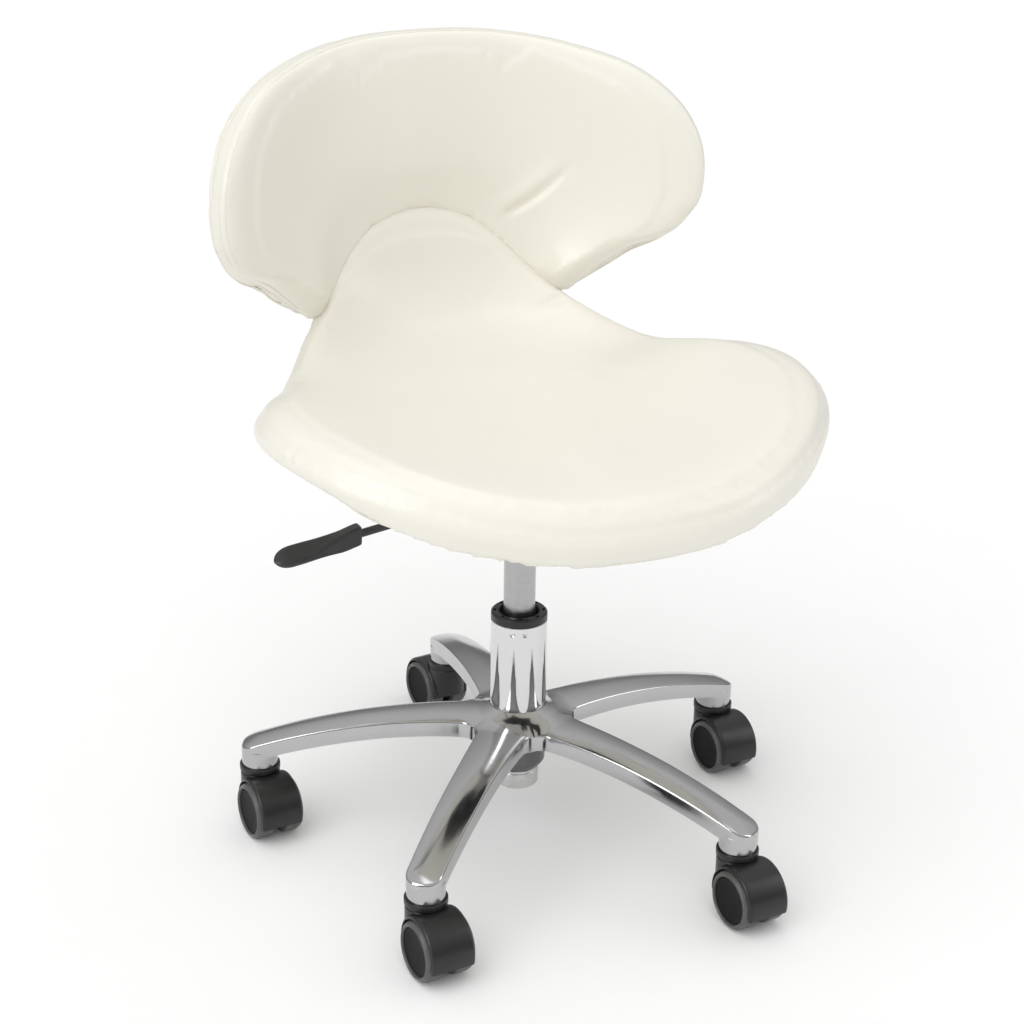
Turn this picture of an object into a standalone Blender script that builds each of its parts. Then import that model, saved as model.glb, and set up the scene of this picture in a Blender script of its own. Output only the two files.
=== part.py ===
"""Rolling stylist stool: five-arm base on twin-wheel casters, gas column, one-piece seat and back.

Metres, +Z up, floor at z = 0. The pieces are made round the column's axis and then moved by
FOOTPRINT, so that the origin lies under the middle of the whole stool.
The seat's front looks towards -Y, and the sitter's right hand is at -X, where the lever is.
"""
import bmesh
import bpy
import numpy as np
from math import cos, hypot, pi, radians, sin, sqrt, tan
from mathutils import Matrix, Vector

OBJECT_NAME = "rolling_stylist_stool"
GAP = 0.0003                     # clearance between pieces that touch
FOOTPRINT = Vector((-0.004, -0.0135, 0.0))

# Base
ARM_COUNT = 5
ARM_ANGLE = radians(-61.25)      # heading of the first arm
ARM_STEP = 2 * pi / ARM_COUNT
STEM_CIRCLE = 0.233              # axis of the column to the axis of a caster's stem
HUB_BORE = 0.0253
HUB_TOP = 0.1270
HUB_BOTTOM = 0.0890
SLEEVE_RADIUS = 0.029
FLARE_END = 0.0493               # where the hub's flare has run out into the arms
ARM_CREST = 0.1185               # height of the arms beside the hub
ARM_DROP = 0.0359                # how far the crest has come down at the tip
ARM_CROWN = 0.003
ARM_EDGE = 0.0015
ARM_DEPTH = 0.0175               # crest to the lower edge of the side faces
ARM_CHANNEL = 0.0085             # depth of the hollow under each arm
ARM_WALL = 0.003
ARM_ROOT_HALF = 0.0215
ARM_MID_HALF = 0.0180
ARM_TIP_HALF = 0.0158
ARM_TIP_LENGTH = 0.0165
WEB_FILLET = 0.017
BOSS_RADIUS = 0.0162
BOSS_BOTTOM = 0.0615

# Column
TUBE_RADIUS = 0.025
TUBE_BORE = 0.0225
TUBE_TOP = 0.2090
TUBE_CHAMFER_TOP = 0.0720
TUBE_BOTTOM = 0.0655
TUBE_FLOOR = 0.0685
CAP_RADIUS = 0.0195
CAP_BOTTOM = 0.0475
BUSH_TOP = 0.2170
BUSH_BOTTOM = 0.1550
CYLINDER_RADIUS = 0.014
CYLINDER_BOTTOM = 0.1500
CYLINDER_TOP = 0.3240
CHAMBER_TOP = 0.3000             # top of the hollow inside the gas cylinder
ROD_RADIUS = 0.005
BEARING_HEIGHT = 0.005
ROD_TOP = 0.2120

# Caster
CASTER_TRAIL = 0.0207
CASTER_HEADINGS = (-85.2, -85.2, 97.0, -85.2, -85.2)     # direction in which each caster trails, degrees
WHEEL_RADIUS = 0.0256
WHEEL_INNER = 0.0055             # from the caster's middle plane to a wheel's inner face
WHEEL_OUTER = 0.0226
WHEEL_SIDES = 20
CORE_RADIUS = 0.0205
TREAD_ROUND = 0.0065             # depth of the tread's round shoulder
NECK_RADIUS = 0.0182
NECK_TOP = BOSS_BOTTOM - GAP
HOOD_RADIUS = 0.0296
HOOD_POCKET = 0.0270
HOOD_HALF = 0.0197
HOOD_CUT = 0.0185                # height at which the hood ends behind the wheels
WEB_HALF = 0.0042
AXLE_RADIUS = 0.003
STEM_RADIUS = 0.0055

# Seat and back: one bent board, with pads in front of it and covers behind it
SPINE = [(-0.2500, 0.3720), (-0.2000, 0.3765), (-0.1000, 0.3775), (0.0000, 0.3775), (0.0800, 0.3790),
         (0.1400, 0.3885), (0.1880, 0.4130), (0.2195, 0.4520), (0.2350, 0.5000), (0.2410, 0.5500),
         (0.2390, 0.6100), (0.2310, 0.6750), (0.2260, 0.7000)]
SEAT_DISH = 0.72                 # sideways rise of the seat, per metre
BACK_WRAP = 2.67                 # the same for the back, where it wraps round the sitter
WRAP_FLAT = 0.08                 # half-width that stays nearly flat
WRAP_FROM = 0.33
WRAP_TO = 0.51
SEAT_OUTLINE = [(0.000, 0.000), (0.006, 0.060), (0.026, 0.118), (0.060, 0.174), (0.110, 0.219),
                (0.165, 0.243), (0.215, 0.248), (0.255, 0.239), (0.303, 0.213), (0.356, 0.182),
                (0.405, 0.156), (0.450, 0.134), (0.484, 0.116), (0.515, 0.098), (0.542, 0.076),
                (0.563, 0.048), (0.5745, 0.000)]
BACK_OUTLINE = [(0.462, 0.132), (0.478, 0.160), (0.498, 0.190), (0.526, 0.2155), (0.560, 0.2305),
                (0.604, 0.2353), (0.650, 0.2325), (0.690, 0.2165), (0.717, 0.186), (0.731, 0.135),
                (0.737, 0.075), (0.7395, 0.000)]
BOARD = 0.009                   # thickness of the board
BOARD_INSET = 0.014
BACK_INSET = 0.018
WING_INSET = 0.012               # how much further in the board's edge lies beside the thighs
BOARD_ROWS = [0.015, 0.020, 0.030, 0.050, 0.090, 0.140, 0.190, 0.225, 0.250, 0.275, 0.300, 0.325, 0.350,
              0.375, 0.400, 0.420, 0.438, 0.455, 0.468, 0.478, 0.486, 0.495, 0.507, 0.525, 0.555, 0.595,
              0.635, 0.668, 0.686, 0.697, 0.706, 0.713, 0.7175]
BOARD_COLUMNS = 10
FACE_GAP = 0.0008                # room for faceted faces in front of the board
BED = 0.0030                     # the same under the pads, for their glue
COVER_GAP = 0.0006
COVER_RIM = 0.0012               # thickness of a cover's edge
RIM_WIDTH = 0.0105               # of the part of a pad that wraps past the board's edge
SEAM_DEPTH = 0.0045              # how far the pads' rims come down past the board's front face
BACK_SEAM_DEPTH = 0.0045
FRONT_SEAM_DEPTH = 0.0165
SEAT_PAD = 0.035
TONGUE_PAD = 0.020
BACK_PAD = 0.030
UNDER_PAD = 0.004
BACK_COVER_PAD = 0.010
NECK_S = 0.455                   # place along the spine where the seat ends and the back begins
NECK_END = 0.480

# Mechanism under the seat
PLATE_TOP = 0.3615
PLATE_THICKNESS = 0.003
PLATE_SIZE = (0.160, 0.130)
BOX_X = (-0.0485, 0.0300)
BOX_HALF = 0.030
BOX_BOTTOM = 0.3165
BOX_WALL = 0.0025
SOCKET_RADIUS = 0.019
SOCKET_BOTTOM = 0.2980
SOCKET_TOP = 0.3245
BOLT_X = 0.062
BOLT_Y = 0.048
BOLT_RADIUS = 0.003
BOLT_HEAD = 0.0055
LEVER_SLOPE = radians(8.0)
LEVER_HEIGHT = 0.3337            # lever's centre line where it crosses the column's axis
LEVER_RADIUS = 0.0035
LEVER_INNER = 0.006
LEVER_OUTER = -0.190
FULCRUM_X = -0.047
GRIP_START = -0.149
GRIP_END = -0.2245

BLACK = ((0.012, 0.012, 0.013, 1.0), 0.45, 0.0)
STEEL = ((0.45, 0.45, 0.46, 1.0), 0.35, 1.0)
CHROME = ((0.75, 0.75, 0.76, 1.0), 0.06, 1.0)
ALUMINIUM = ((0.62, 0.62, 0.63, 1.0), 0.16, 1.0)
GREY_TREAD = ((0.10, 0.10, 0.095, 1.0), 0.55, 0.0)
CREAM = ((0.86, 0.83, 0.74, 1.0), 0.42, 0.0)
RUBBER = ((0.02, 0.02, 0.02, 1.0), 0.8, 0.0)
PLY = ((0.45, 0.32, 0.18, 1.0), 0.6, 0.0)
PAINT = ((0.02, 0.02, 0.02, 1.0), 0.5, 0.4)
NYLON = ((0.03, 0.03, 0.03, 1.0), 0.5, 0.0)


# ---------------------------------------------------------------- helpers

def clear_scene():
    for item in list(bpy.data.objects):
        bpy.data.objects.remove(item, do_unlink=True)


def collection(name):
    made = bpy.data.collections.new(name)
    bpy.context.scene.collection.children.link(made)
    return made


def material(name, finish):
    colour, roughness, metallic = finish
    made = bpy.data.materials.new(name)
    made.use_nodes = True
    shader = made.node_tree.nodes["Principled BSDF"]
    shader.inputs["Base Color"].default_value = colour
    shader.inputs["Roughness"].default_value = roughness
    shader.inputs["Metallic"].default_value = metallic
    return made


def shade(mesh):
    mesh.shade_smooth()
    mesh.set_sharp_from_angle(angle=radians(35))


def add_object(name, mesh, finish, where=None, parent=None):
    item = bpy.data.objects.new(name, mesh)
    PARTS.objects.link(item)
    if finish:
        mesh.materials.clear()
        mesh.materials.append(material(name, finish))
    if parent:
        item.parent = parent
    if where is not None:
        item.matrix_local = where
    return item


def mesh_from(name, build):
    """A mesh whose closed surface build(bm) makes, with its faces turned outwards."""
    bm = bmesh.new()
    build(bm)
    bmesh.ops.remove_doubles(bm, verts=bm.verts, dist=0.000001)
    bmesh.ops.recalc_face_normals(bm, faces=bm.faces)
    if bm.calc_volume(signed=True) < 0:
        bmesh.ops.reverse_faces(bm, faces=bm.faces)
    mesh = bpy.data.meshes.new(name)
    bm.to_mesh(mesh)
    bm.free()
    shade(mesh)
    return mesh


def evaluated(item, name):
    """The mesh that an object shows with its modifiers, after which the object is removed."""
    graph = bpy.context.evaluated_depsgraph_get()
    mesh = bpy.data.meshes.new_from_object(item.evaluated_get(graph))
    mesh.name = name
    bpy.data.objects.remove(item, do_unlink=True)
    shade(mesh)
    return mesh


def turned_mesh(name, profile, sides, closed=True):
    """Profile points are (radius, height); they run down the outer side, at +X."""
    mesh = bpy.data.meshes.new(name)
    count = len(profile)
    edges = [(i, i + 1) for i in range(count - 1)]
    if closed:
        edges.append((count - 1, 0))
    mesh.from_pydata([(r, 0.0, z) for r, z in profile], edges, [])
    item = bpy.data.objects.new(name, mesh)
    PARTS.objects.link(item)
    screw = item.modifiers.new("turn", "SCREW")
    screw.angle = 2 * pi
    screw.steps = sides
    screw.render_steps = sides
    screw.use_merge_vertices = True
    screw.merge_threshold = 0.000001
    return evaluated(item, name)


def prism(bm, corners, low, high, transform=None):
    """A flat outline of (x, y) corners raised from z = low to z = high."""
    lower = [bm.verts.new((x, y, low)) for x, y in corners]
    upper = [bm.verts.new((x, y, high)) for x, y in corners]
    count = len(corners)
    bm.faces.new(list(reversed(lower)))
    bm.faces.new(upper)
    for i in range(count):
        j = (i + 1) % count
        bm.faces.new((lower[i], lower[j], upper[j], upper[i]))
    if transform:
        bmesh.ops.transform(bm, matrix=transform, verts=lower + upper)


def ring(radius, sides, centre=(0.0, 0.0), start=0.0):
    return [(centre[0] + radius * cos(start + 2 * pi * i / sides),
             centre[1] + radius * sin(start + 2 * pi * i / sides)) for i in range(sides)]


def cutter_mesh(name, pieces):
    """Cutters in one object: (outline, low, high, transform) for each."""
    def build(bm):
        for corners, low, high, transform in pieces:
            prism(bm, corners, low, high, transform)
    bm = bmesh.new()
    build(bm)
    bmesh.ops.recalc_face_normals(bm, faces=bm.faces)
    mesh = bpy.data.meshes.new(name)
    bm.to_mesh(mesh)
    bm.free()
    item = bpy.data.objects.new(name, mesh)
    CUTTERS.objects.link(item)
    item.hide_render = True
    item.display_type = "WIRE"
    return item


def combined(mesh, name, steps):
    """A mesh after Booleans; steps are (operation, cutter object)."""
    item = bpy.data.objects.new(name, mesh)
    PARTS.objects.link(item)
    for operation, cutter in steps:
        boolean = item.modifiers.new(operation.lower(), "BOOLEAN")
        boolean.operation = operation
        boolean.object = cutter
        boolean.solver = "EXACT"
    return evaluated(item, name)


def catmull(points, per=16):
    """A centripetal spline through the points, as numpy rows."""
    knots = [np.array(p, float) for p in points]
    knots = [2 * knots[0] - knots[1]] + knots + [2 * knots[-1] - knots[-2]]
    curve = []
    for p0, p1, p2, p3 in zip(knots, knots[1:], knots[2:], knots[3:]):
        t1 = np.linalg.norm(p1 - p0) ** 0.5
        t2 = t1 + np.linalg.norm(p2 - p1) ** 0.5
        t3 = t2 + np.linalg.norm(p3 - p2) ** 0.5
        for j in range(per):
            t = t1 + (t2 - t1) * j / per
            a1 = p0 + (p1 - p0) * t / t1
            a2 = p1 + (p2 - p1) * (t - t1) / (t2 - t1)
            a3 = p2 + (p3 - p2) * (t - t2) / (t3 - t2)
            b1 = a1 + (a2 - a1) * t / t2
            b2 = a2 + (a3 - a2) * (t - t1) / (t3 - t1)
            curve.append(b1 + (b2 - b1) * (t - t1) / (t2 - t1))
    curve.append(knots[-2])
    return np.array(curve)


def smoothstep(low, high, value):
    t = min(1.0, max(0.0, (value - low) / (high - low)))
    return t * t * (3 - 2 * t)


def along(curve):
    return np.concatenate([[0.0], np.cumsum(np.linalg.norm(np.diff(curve, axis=0), axis=1))])


# ---------------------------------------------------------------- star base

def arm_half_width(u):
    middle = ARM_MID_HALF + (ARM_ROOT_HALF - ARM_MID_HALF) * max(0.0, (0.13 - u) / 0.08) ** 1.4
    outer = ARM_MID_HALF + (ARM_TIP_HALF - ARM_MID_HALF) * (u - 0.13) / 0.10
    return middle if u < 0.13 else outer


def arm_rows():
    """Rows of one arm's plan: (edge u, edge v, bulge), from the hub out to the tip."""
    sector = ARM_STEP / 2
    centre = (ARM_ROOT_HALF + WEB_FILLET) / sin(sector)
    web = centre - WEB_FILLET
    rows = [(r * cos(sector), r * sin(sector), r) for r in (HUB_BORE, SLEEVE_RADIUS, 0.0302, 0.0365)]
    for step in range(4):
        turn = sector + pi + (pi / 2 - sector) * step / 3
        u = centre * cos(sector) + WEB_FILLET * cos(turn)
        v = centre * sin(sector) + WEB_FILLET * sin(turn)
        rows.append((u, v, u + web * (1 - cos(sector)) * (1 - 0.25 * step)))
    for u in (0.072, 0.098, 0.126, 0.154, 0.180, 0.203, 0.2185):
        rows.append((u, arm_half_width(u), u))
    base = STEM_CIRCLE - 0.0005
    half = arm_half_width(base)
    for turn in (0, 35, 66):
        c = cos(radians(turn)) ** (2 / 2.6)
        s = sin(radians(turn)) ** (2 / 2.6)
        middle = base + ARM_TIP_LENGTH * (s + (1 - s) * (turn / 66))
        rows.append((base + ARM_TIP_LENGTH * s, half * c, middle))
    return rows


def arm_edge_line(rows):
    """The arm's outline, for measuring how far a point lies inside it."""
    edge = [(u, v) for u, v, _ in rows[4:]]
    tip = [(rows[-1][2], 0.0)]
    mirrored = [(u, -v) for u, v in reversed(edge)]
    sector = ARM_STEP / 2
    turn = Matrix.Rotation(2 * sector, 2)
    neighbour = [tuple(turn @ Vector((u, -v))) for u, v in edge[:5]]
    other = [(u, -v) for u, v in neighbour]
    return [np.array(edge + tip + mirrored), np.array(neighbour), np.array(other)]


def distance_to(lines, u, v):
    point = np.array((u, v))
    best = 1.0
    for line in lines:
        a = line[:-1]
        d = line[1:] - a
        t = np.clip(((point - a) * d).sum(1) / (d * d).sum(1), 0, 1)
        best = min(best, np.linalg.norm(a + d * t[:, None] - point, axis=1).min())
    return best


def crest(r):
    return ARM_CREST - ARM_DROP * (max(0.0, r - 0.05) / 0.2) ** 2.0


def arm_top(r, inside):
    flare = (HUB_TOP - ARM_CREST) * max(0.0, (FLARE_END - r) / (FLARE_END - HUB_BORE)) ** 2.5
    crown = ARM_CROWN * max(0.0, 1 - inside / ARM_ROOT_HALF) ** 2
    rounding = ARM_EDGE - sqrt(max(0.0, ARM_EDGE ** 2 - max(0.0, ARM_EDGE - inside) ** 2))
    return crest(r) + flare - crown - rounding


def arm_bottom(r, inside):
    if r < SLEEVE_RADIUS + 0.0001:
        return HUB_BOTTOM
    channel = ARM_CHANNEL * smoothstep(ARM_WALL - 0.0004, ARM_WALL + 0.0016, inside)
    solid_tip = smoothstep(STEM_CIRCLE - 0.030, STEM_CIRCLE - 0.020, r)
    return crest(r) - ARM_DEPTH + channel * (1 - solid_tip)


def star_base_loft(bm):
    columns = [-1, -0.93, -0.76, 0.0, 0.76, 0.93, 1]
    rows = arm_rows()
    lines = arm_edge_line(rows)
    sector = ARM_STEP / 2
    for arm in range(ARM_COUNT):
        turn = ARM_ANGLE + arm * ARM_STEP
        top, bottom = [], []
        for index, (edge_u, edge_v, middle_u) in enumerate(rows):
            upper, lower = [], []
            for place, s in enumerate(columns):
                if index < 4:
                    around = sector * (2 * place / (len(columns) - 1) - 1)
                    u, v = middle_u * cos(around), middle_u * sin(around)
                else:
                    u, v = edge_u + (middle_u - edge_u) * (1 - s * s), edge_v * s
                r = hypot(u, v)
                inside = distance_to(lines, u, v) if index >= 3 else 1.0
                x, y = u * cos(turn) - v * sin(turn), u * sin(turn) + v * cos(turn)
                upper.append(bm.verts.new((x, y, arm_top(r, inside))))
                lower.append(bm.verts.new((x, y, arm_bottom(r, inside))))
            top.append(upper)
            bottom.append(lower)
        last = len(columns) - 1
        for i in range(len(rows) - 1):
            for j in range(last):
                bm.faces.new((top[i][j], top[i + 1][j], top[i + 1][j + 1], top[i][j + 1]))
                bm.faces.new((bottom[i][j], bottom[i][j + 1], bottom[i + 1][j + 1], bottom[i + 1][j]))
            if i >= 4:
                bm.faces.new((top[i][0], bottom[i][0], bottom[i + 1][0], top[i + 1][0]))
                bm.faces.new((top[i][last], top[i + 1][last], bottom[i + 1][last], bottom[i][last]))
        for j in range(last):
            bm.faces.new((top[0][j], top[0][j + 1], bottom[0][j + 1], bottom[0][j]))
            bm.faces.new((top[-1][j], bottom[-1][j], bottom[-1][j + 1], top[-1][j + 1]))


def arm_tips():
    """Heading and stem position of every arm."""
    for arm in range(ARM_COUNT):
        turn = ARM_ANGLE + arm * ARM_STEP
        yield arm + 1, (STEM_CIRCLE * cos(turn), STEM_CIRCLE * sin(turn))


def make_star_base():
    mesh = mesh_from("star_base_loft", star_base_loft)
    bosses = cutter_mesh("boss_cutter", [
        (ring(BOSS_RADIUS, 20, place), BOSS_BOTTOM, BOSS_BOTTOM + 0.015, None) for _, place in arm_tips()])
    bores = cutter_mesh("stem_bore_cutter", [
        (ring(STEM_RADIUS + GAP, 10, place), BOSS_BOTTOM - 0.01, BOSS_BOTTOM + 0.014, None)
        for _, place in arm_tips()])
    mesh = combined(mesh, "star_base", [("UNION", bosses), ("DIFFERENCE", bores)])
    add_object("star_base", mesh, ALUMINIUM)


# ---------------------------------------------------------------- column

def make_column():
    tube = [(0.0245, TUBE_TOP), (TUBE_RADIUS, TUBE_TOP - 0.0005), (TUBE_RADIUS, TUBE_CHAMFER_TOP),
            (CAP_RADIUS + GAP, TUBE_BOTTOM), (0.0058, TUBE_BOTTOM), (0.0058, TUBE_FLOOR),
            (0.0175, TUBE_FLOOR), (TUBE_BORE, TUBE_FLOOR + 0.005), (TUBE_BORE, TUBE_TOP)]
    add_object("column_tube", turned_mesh("column_tube", tube, 32), CHROME)

    cap = [(0.0, CAP_BOTTOM + 0.0025), (0.0165, CAP_BOTTOM + 0.0025), (0.0165, TUBE_BOTTOM - GAP),
           (CAP_RADIUS, TUBE_BOTTOM - GAP),
           (CAP_RADIUS, CAP_BOTTOM + 0.0012), (CAP_RADIUS - 0.0012, CAP_BOTTOM), (0.0, CAP_BOTTOM)]
    add_object("bottom_cap", turned_mesh("bottom_cap", cap, 24, closed=False), STEEL)

    bush = [(0.0235, BUSH_TOP), (TUBE_RADIUS, BUSH_TOP - 0.0015), (TUBE_RADIUS, TUBE_TOP + GAP),
            (TUBE_BORE - GAP, TUBE_TOP + GAP), (TUBE_BORE - GAP, BUSH_BOTTOM),
            (CYLINDER_RADIUS + GAP, BUSH_BOTTOM), (CYLINDER_RADIUS + GAP, TUBE_TOP),
            (0.0165, TUBE_TOP + 0.0028), (0.0178, BUSH_TOP - 0.0006), (0.0190, BUSH_TOP)]
    slots = []
    for i in range(8):
        turn = Matrix.Rotation(2 * pi * (i + 0.5) / 8, 4, "Z")
        slots.append(([(0.0203, -0.0021), (0.0226, -0.0021), (0.0226, 0.0021), (0.0203, 0.0021)],
                      BUSH_TOP - 0.0022, BUSH_TOP + 0.001, turn))
    mesh = combined(turned_mesh("guide_bush_blank", bush, 24), "guide_bush",
                    [("DIFFERENCE", cutter_mesh("bush_slot_cutter", slots))])
    add_object("guide_bush", mesh, NYLON)

    cylinder = [(0.0043, CYLINDER_TOP), (0.0126, CYLINDER_TOP), (0.0137, CYLINDER_TOP - 0.0015),
                (CYLINDER_RADIUS, SOCKET_BOTTOM - 0.012), (CYLINDER_RADIUS, CYLINDER_BOTTOM + 0.001),
                (0.0130, CYLINDER_BOTTOM), (0.0055, CYLINDER_BOTTOM), (0.0055, CYLINDER_BOTTOM + 0.006),
                (0.0120, CYLINDER_BOTTOM + 0.006), (0.0120, CHAMBER_TOP), (0.0043, CHAMBER_TOP)]
    add_object("gas_cylinder", turned_mesh("gas_cylinder", cylinder, 24), STEEL)

    collar = TUBE_FLOOR + 2 * GAP + BEARING_HEIGHT
    groove = TUBE_BOTTOM - 0.0013
    rod = [(0.0, ROD_TOP), (0.0108, ROD_TOP), (0.0115, ROD_TOP - 0.001), (0.0115, ROD_TOP - 0.011),
           (0.0108, ROD_TOP - 0.012), (ROD_RADIUS, ROD_TOP - 0.012), (ROD_RADIUS, collar + 0.002),
           (0.0075, collar + 0.002), (0.0075, collar), (ROD_RADIUS, collar), (ROD_RADIUS, groove),
           (0.0041, groove), (0.0041, groove - 0.002), (ROD_RADIUS, groove - 0.002),
           (ROD_RADIUS, groove - 0.0052), (0.0042, groove - 0.0062), (0.0, groove - 0.0062)]
    add_object("piston_rod", turned_mesh("piston_rod", rod, 12, closed=False), STEEL)

    low = TUBE_FLOOR + GAP
    bearing = [(0.0125, low + 0.0050), (0.0125, low + 0.0034), (0.0112, low + 0.0030),
               (0.0112, low + 0.0020), (0.0125, low + 0.0016), (0.0125, low), (0.0056, low),
               (0.0056, low + BEARING_HEIGHT)]
    add_object("thrust_bearing", turned_mesh("thrust_bearing", bearing, 14), STEEL)

    low = collar + 0.002 + GAP
    bumper = [(0.0115, low + 0.0024), (0.0115, low), (0.0053, low), (0.0053, low + 0.003),
              (0.0108, low + 0.003)]
    add_object("bumper_ring", turned_mesh("bumper_ring", bumper, 14), RUBBER)

    def clip(bm):
        outer = [(0.0085 * cos(radians(a)), 0.0085 * sin(radians(a))) for a in range(30, 331, 25)]
        inner = [(0.0044 * cos(radians(a)), 0.0044 * sin(radians(a))) for a in range(330, 29, -25)]
        prism(bm, outer + inner, groove - 0.0017, groove - 0.0003)
    add_object("retaining_clip", mesh_from("retaining_clip", clip), STEEL)


# ---------------------------------------------------------------- casters

# A caster's own frame has the stem's axis at x = y = 0, trails towards +X, and its axle lies along Y.

def side_wall_transform():
    """Turns an (x, y) outline raised along z into a side view (x, z) raised along y."""
    return Matrix(((1, 0, 0, 0), (0, 0, -1, 0), (0, 1, 0, 0), (0, 0, 0, 1)))


def hood_mesh():
    side = side_wall_transform()
    shell = ring(HOOD_RADIUS, 26, (CASTER_TRAIL, WHEEL_RADIUS))

    def blank(bm):
        prism(bm, shell, -HOOD_HALF, HOOD_HALF, side)
    neck = cutter_mesh("neck_cutter", [(ring(NECK_RADIUS - 0.0006, 18), 0.028, NECK_TOP - 0.006, None)])
    collar = cutter_mesh("collar_cutter", [(ring(NECK_RADIUS, 18), NECK_TOP - 0.007, NECK_TOP, None)])
    pocket = ring(HOOD_POCKET, 26, (CASTER_TRAIL, WHEEL_RADIUS))
    pockets = cutter_mesh("wheel_pocket_cutter", [
        (pocket, WEB_HALF, 0.05, side), (pocket, -0.05, -WEB_HALF, side)])
    step = CASTER_TRAIL - 0.009
    floor_cut = cutter_mesh("hood_cut", [
        ([(-0.05, -0.02), (0.09, -0.02), (0.09, HOOD_CUT), (step, HOOD_CUT), (step, 0.0205), (-0.05, 0.030)],
         -0.06, 0.06, side)])
    bores = cutter_mesh("caster_bore_cutter", [
        (ring(STEM_RADIUS + GAP, 10), NECK_TOP - 0.012, 0.08, None),
        (ring(AXLE_RADIUS + GAP, 10, (CASTER_TRAIL, WHEEL_RADIUS)), -0.05, 0.05, side)])
    return combined(mesh_from("hood_blank", blank), "hood", [
        ("UNION", neck), ("UNION", collar), ("DIFFERENCE", pockets),
        ("DIFFERENCE", floor_cut), ("DIFFERENCE", bores)])


def caster_meshes():
    facet = WHEEL_RADIUS / cos(pi / WHEEL_SIDES)
    bead = CORE_RADIUS + GAP
    shoulder = facet - bead - 0.0012
    tread = []
    for turn in (68, 30):
        c, s = cos(radians(turn)), sin(radians(turn))
        tread.append((bead + 0.0012 + shoulder * c, WHEEL_OUTER - TREAD_ROUND * (1 - s)))
    tread += [(facet, WHEEL_OUTER - TREAD_ROUND), (facet, WHEEL_INNER), (bead, WHEEL_INNER),
              (bead, WHEEL_OUTER - 0.0008)]
    core = [(0.0, WHEEL_OUTER - 0.0024), (CORE_RADIUS, WHEEL_OUTER - 0.0016), (CORE_RADIUS, WHEEL_INNER),
            (AXLE_RADIUS + GAP, WHEEL_INNER), (AXLE_RADIUS + GAP, 0.0160), (0.0, 0.0160)]
    stem_top = BOSS_BOTTOM + 0.0137
    stem = [(0.0, stem_top), (0.0048, stem_top), (STEM_RADIUS, stem_top - 0.0007),
            (STEM_RADIUS, NECK_TOP - 0.0117), (0.0, NECK_TOP - 0.0117)]
    axle = [(0.0, 0.0157), (AXLE_RADIUS, 0.0157), (AXLE_RADIUS, -0.0157), (0.0, -0.0157)]
    return {
        "hood": (hood_mesh(), BLACK),
        "stem": (turned_mesh("stem", stem, 10, closed=False), STEEL),
        "axle": (turned_mesh("axle", axle, 10, closed=False), STEEL),
        "wheel_core": (turned_mesh("wheel_core", core, 18, closed=False), BLACK),
        "tread": (turned_mesh("tread", tread, WHEEL_SIDES), GREY_TREAD),
    }


def make_casters():
    meshes = {}
    for kind, (mesh, finish) in caster_meshes().items():
        mesh.materials.clear()
        mesh.materials.append(material(kind, finish))
        meshes[kind] = mesh
    along_axle = Matrix.Rotation(-pi / 2, 4, "X")
    facet_down = Matrix.Rotation(pi / WHEEL_SIDES, 4, "Z")
    for number, (x, y) in arm_tips():
        swivel = bpy.data.objects.new("caster_%d" % number, None)
        PARTS.objects.link(swivel)
        swivel.location = (x, y, 0.0)
        swivel.rotation_euler = (0.0, 0.0, radians(CASTER_HEADINGS[number - 1]))
        hub = Matrix.Translation((CASTER_TRAIL, 0.0, WHEEL_RADIUS))
        add_object("hood_%d" % number, meshes["hood"], None, Matrix.Identity(4), swivel)
        add_object("stem_%d" % number, meshes["stem"], None, Matrix.Identity(4), swivel)
        add_object("axle_%d" % number, meshes["axle"], None, hub @ along_axle, swivel)
        for side, turn in (("left", Matrix.Identity(4)), ("right", Matrix.Rotation(pi, 4, "Z"))):
            place = hub @ turn @ along_axle @ facet_down
            add_object("wheel_core_%d_%s" % (number, side), meshes["wheel_core"], None, place, swivel)
            add_object("tread_%d_%s" % (number, side), meshes["tread"], None, place, swivel)


# ---------------------------------------------------------------- seat surface

class Spine:
    """The seat's middle line, by length from the front edge."""

    def __init__(self):
        self.curve = catmull(SPINE, 24)
        self.length = along(self.curve)
        slope = np.gradient(self.curve, self.length, axis=0)
        for _ in range(6):
            slope[1:-1] = (slope[:-2] + 2 * slope[1:-1] + slope[2:]) / 4
        self.slope = slope

    def at(self, s):
        inside = min(max(s, 0.0), self.length[-1])
        y, z = (np.interp(inside, self.length, self.curve[:, i]) for i in (0, 1))
        ty, tz = (np.interp(inside, self.length, self.slope[:, i]) for i in (0, 1))
        size = hypot(ty, tz)
        over = s - inside
        return y + over * ty / size, z + over * tz / size, ty / size, tz / size


def surface_point(s, x, depth):
    """Point at s along the spine and x across it, raised by depth off the board's front face."""
    y, z, ty, tz = SPINE_LINE.at(s)
    wrap = SEAT_DISH + (BACK_WRAP - SEAT_DISH) * smoothstep(WRAP_FROM, WRAP_TO, s)
    flat = x * x + WRAP_FLAT ** 2
    rise = wrap * x ** 4 / flat
    lean = wrap * (4 * x ** 3 * flat - 2 * x ** 5) / flat ** 2
    size = hypot(1.0, lean)
    up = rise + depth / size
    return (x - depth * lean / size, y - tz * up, z + ty * up)


def resampled(points, count):
    """Evenly spaced points on a smooth curve whose ends meet the middle line squarely."""
    first, last = points[0], points[-1]
    lead = [(points[1][0], -points[1][1])] if first[1] == 0 else []
    tail = [(points[-2][0], -points[-2][1])] if last[1] == 0 else []
    curve = catmull(lead + points + tail, 16)
    start = 16 * len(lead)
    stop = len(curve) - 16 * len(tail)
    curve = curve[start:stop]
    length = along(curve)
    steps = np.linspace(0, length[-1], count)
    return np.stack([np.interp(steps, length, curve[:, i]) for i in (0, 1)], -1)


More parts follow.
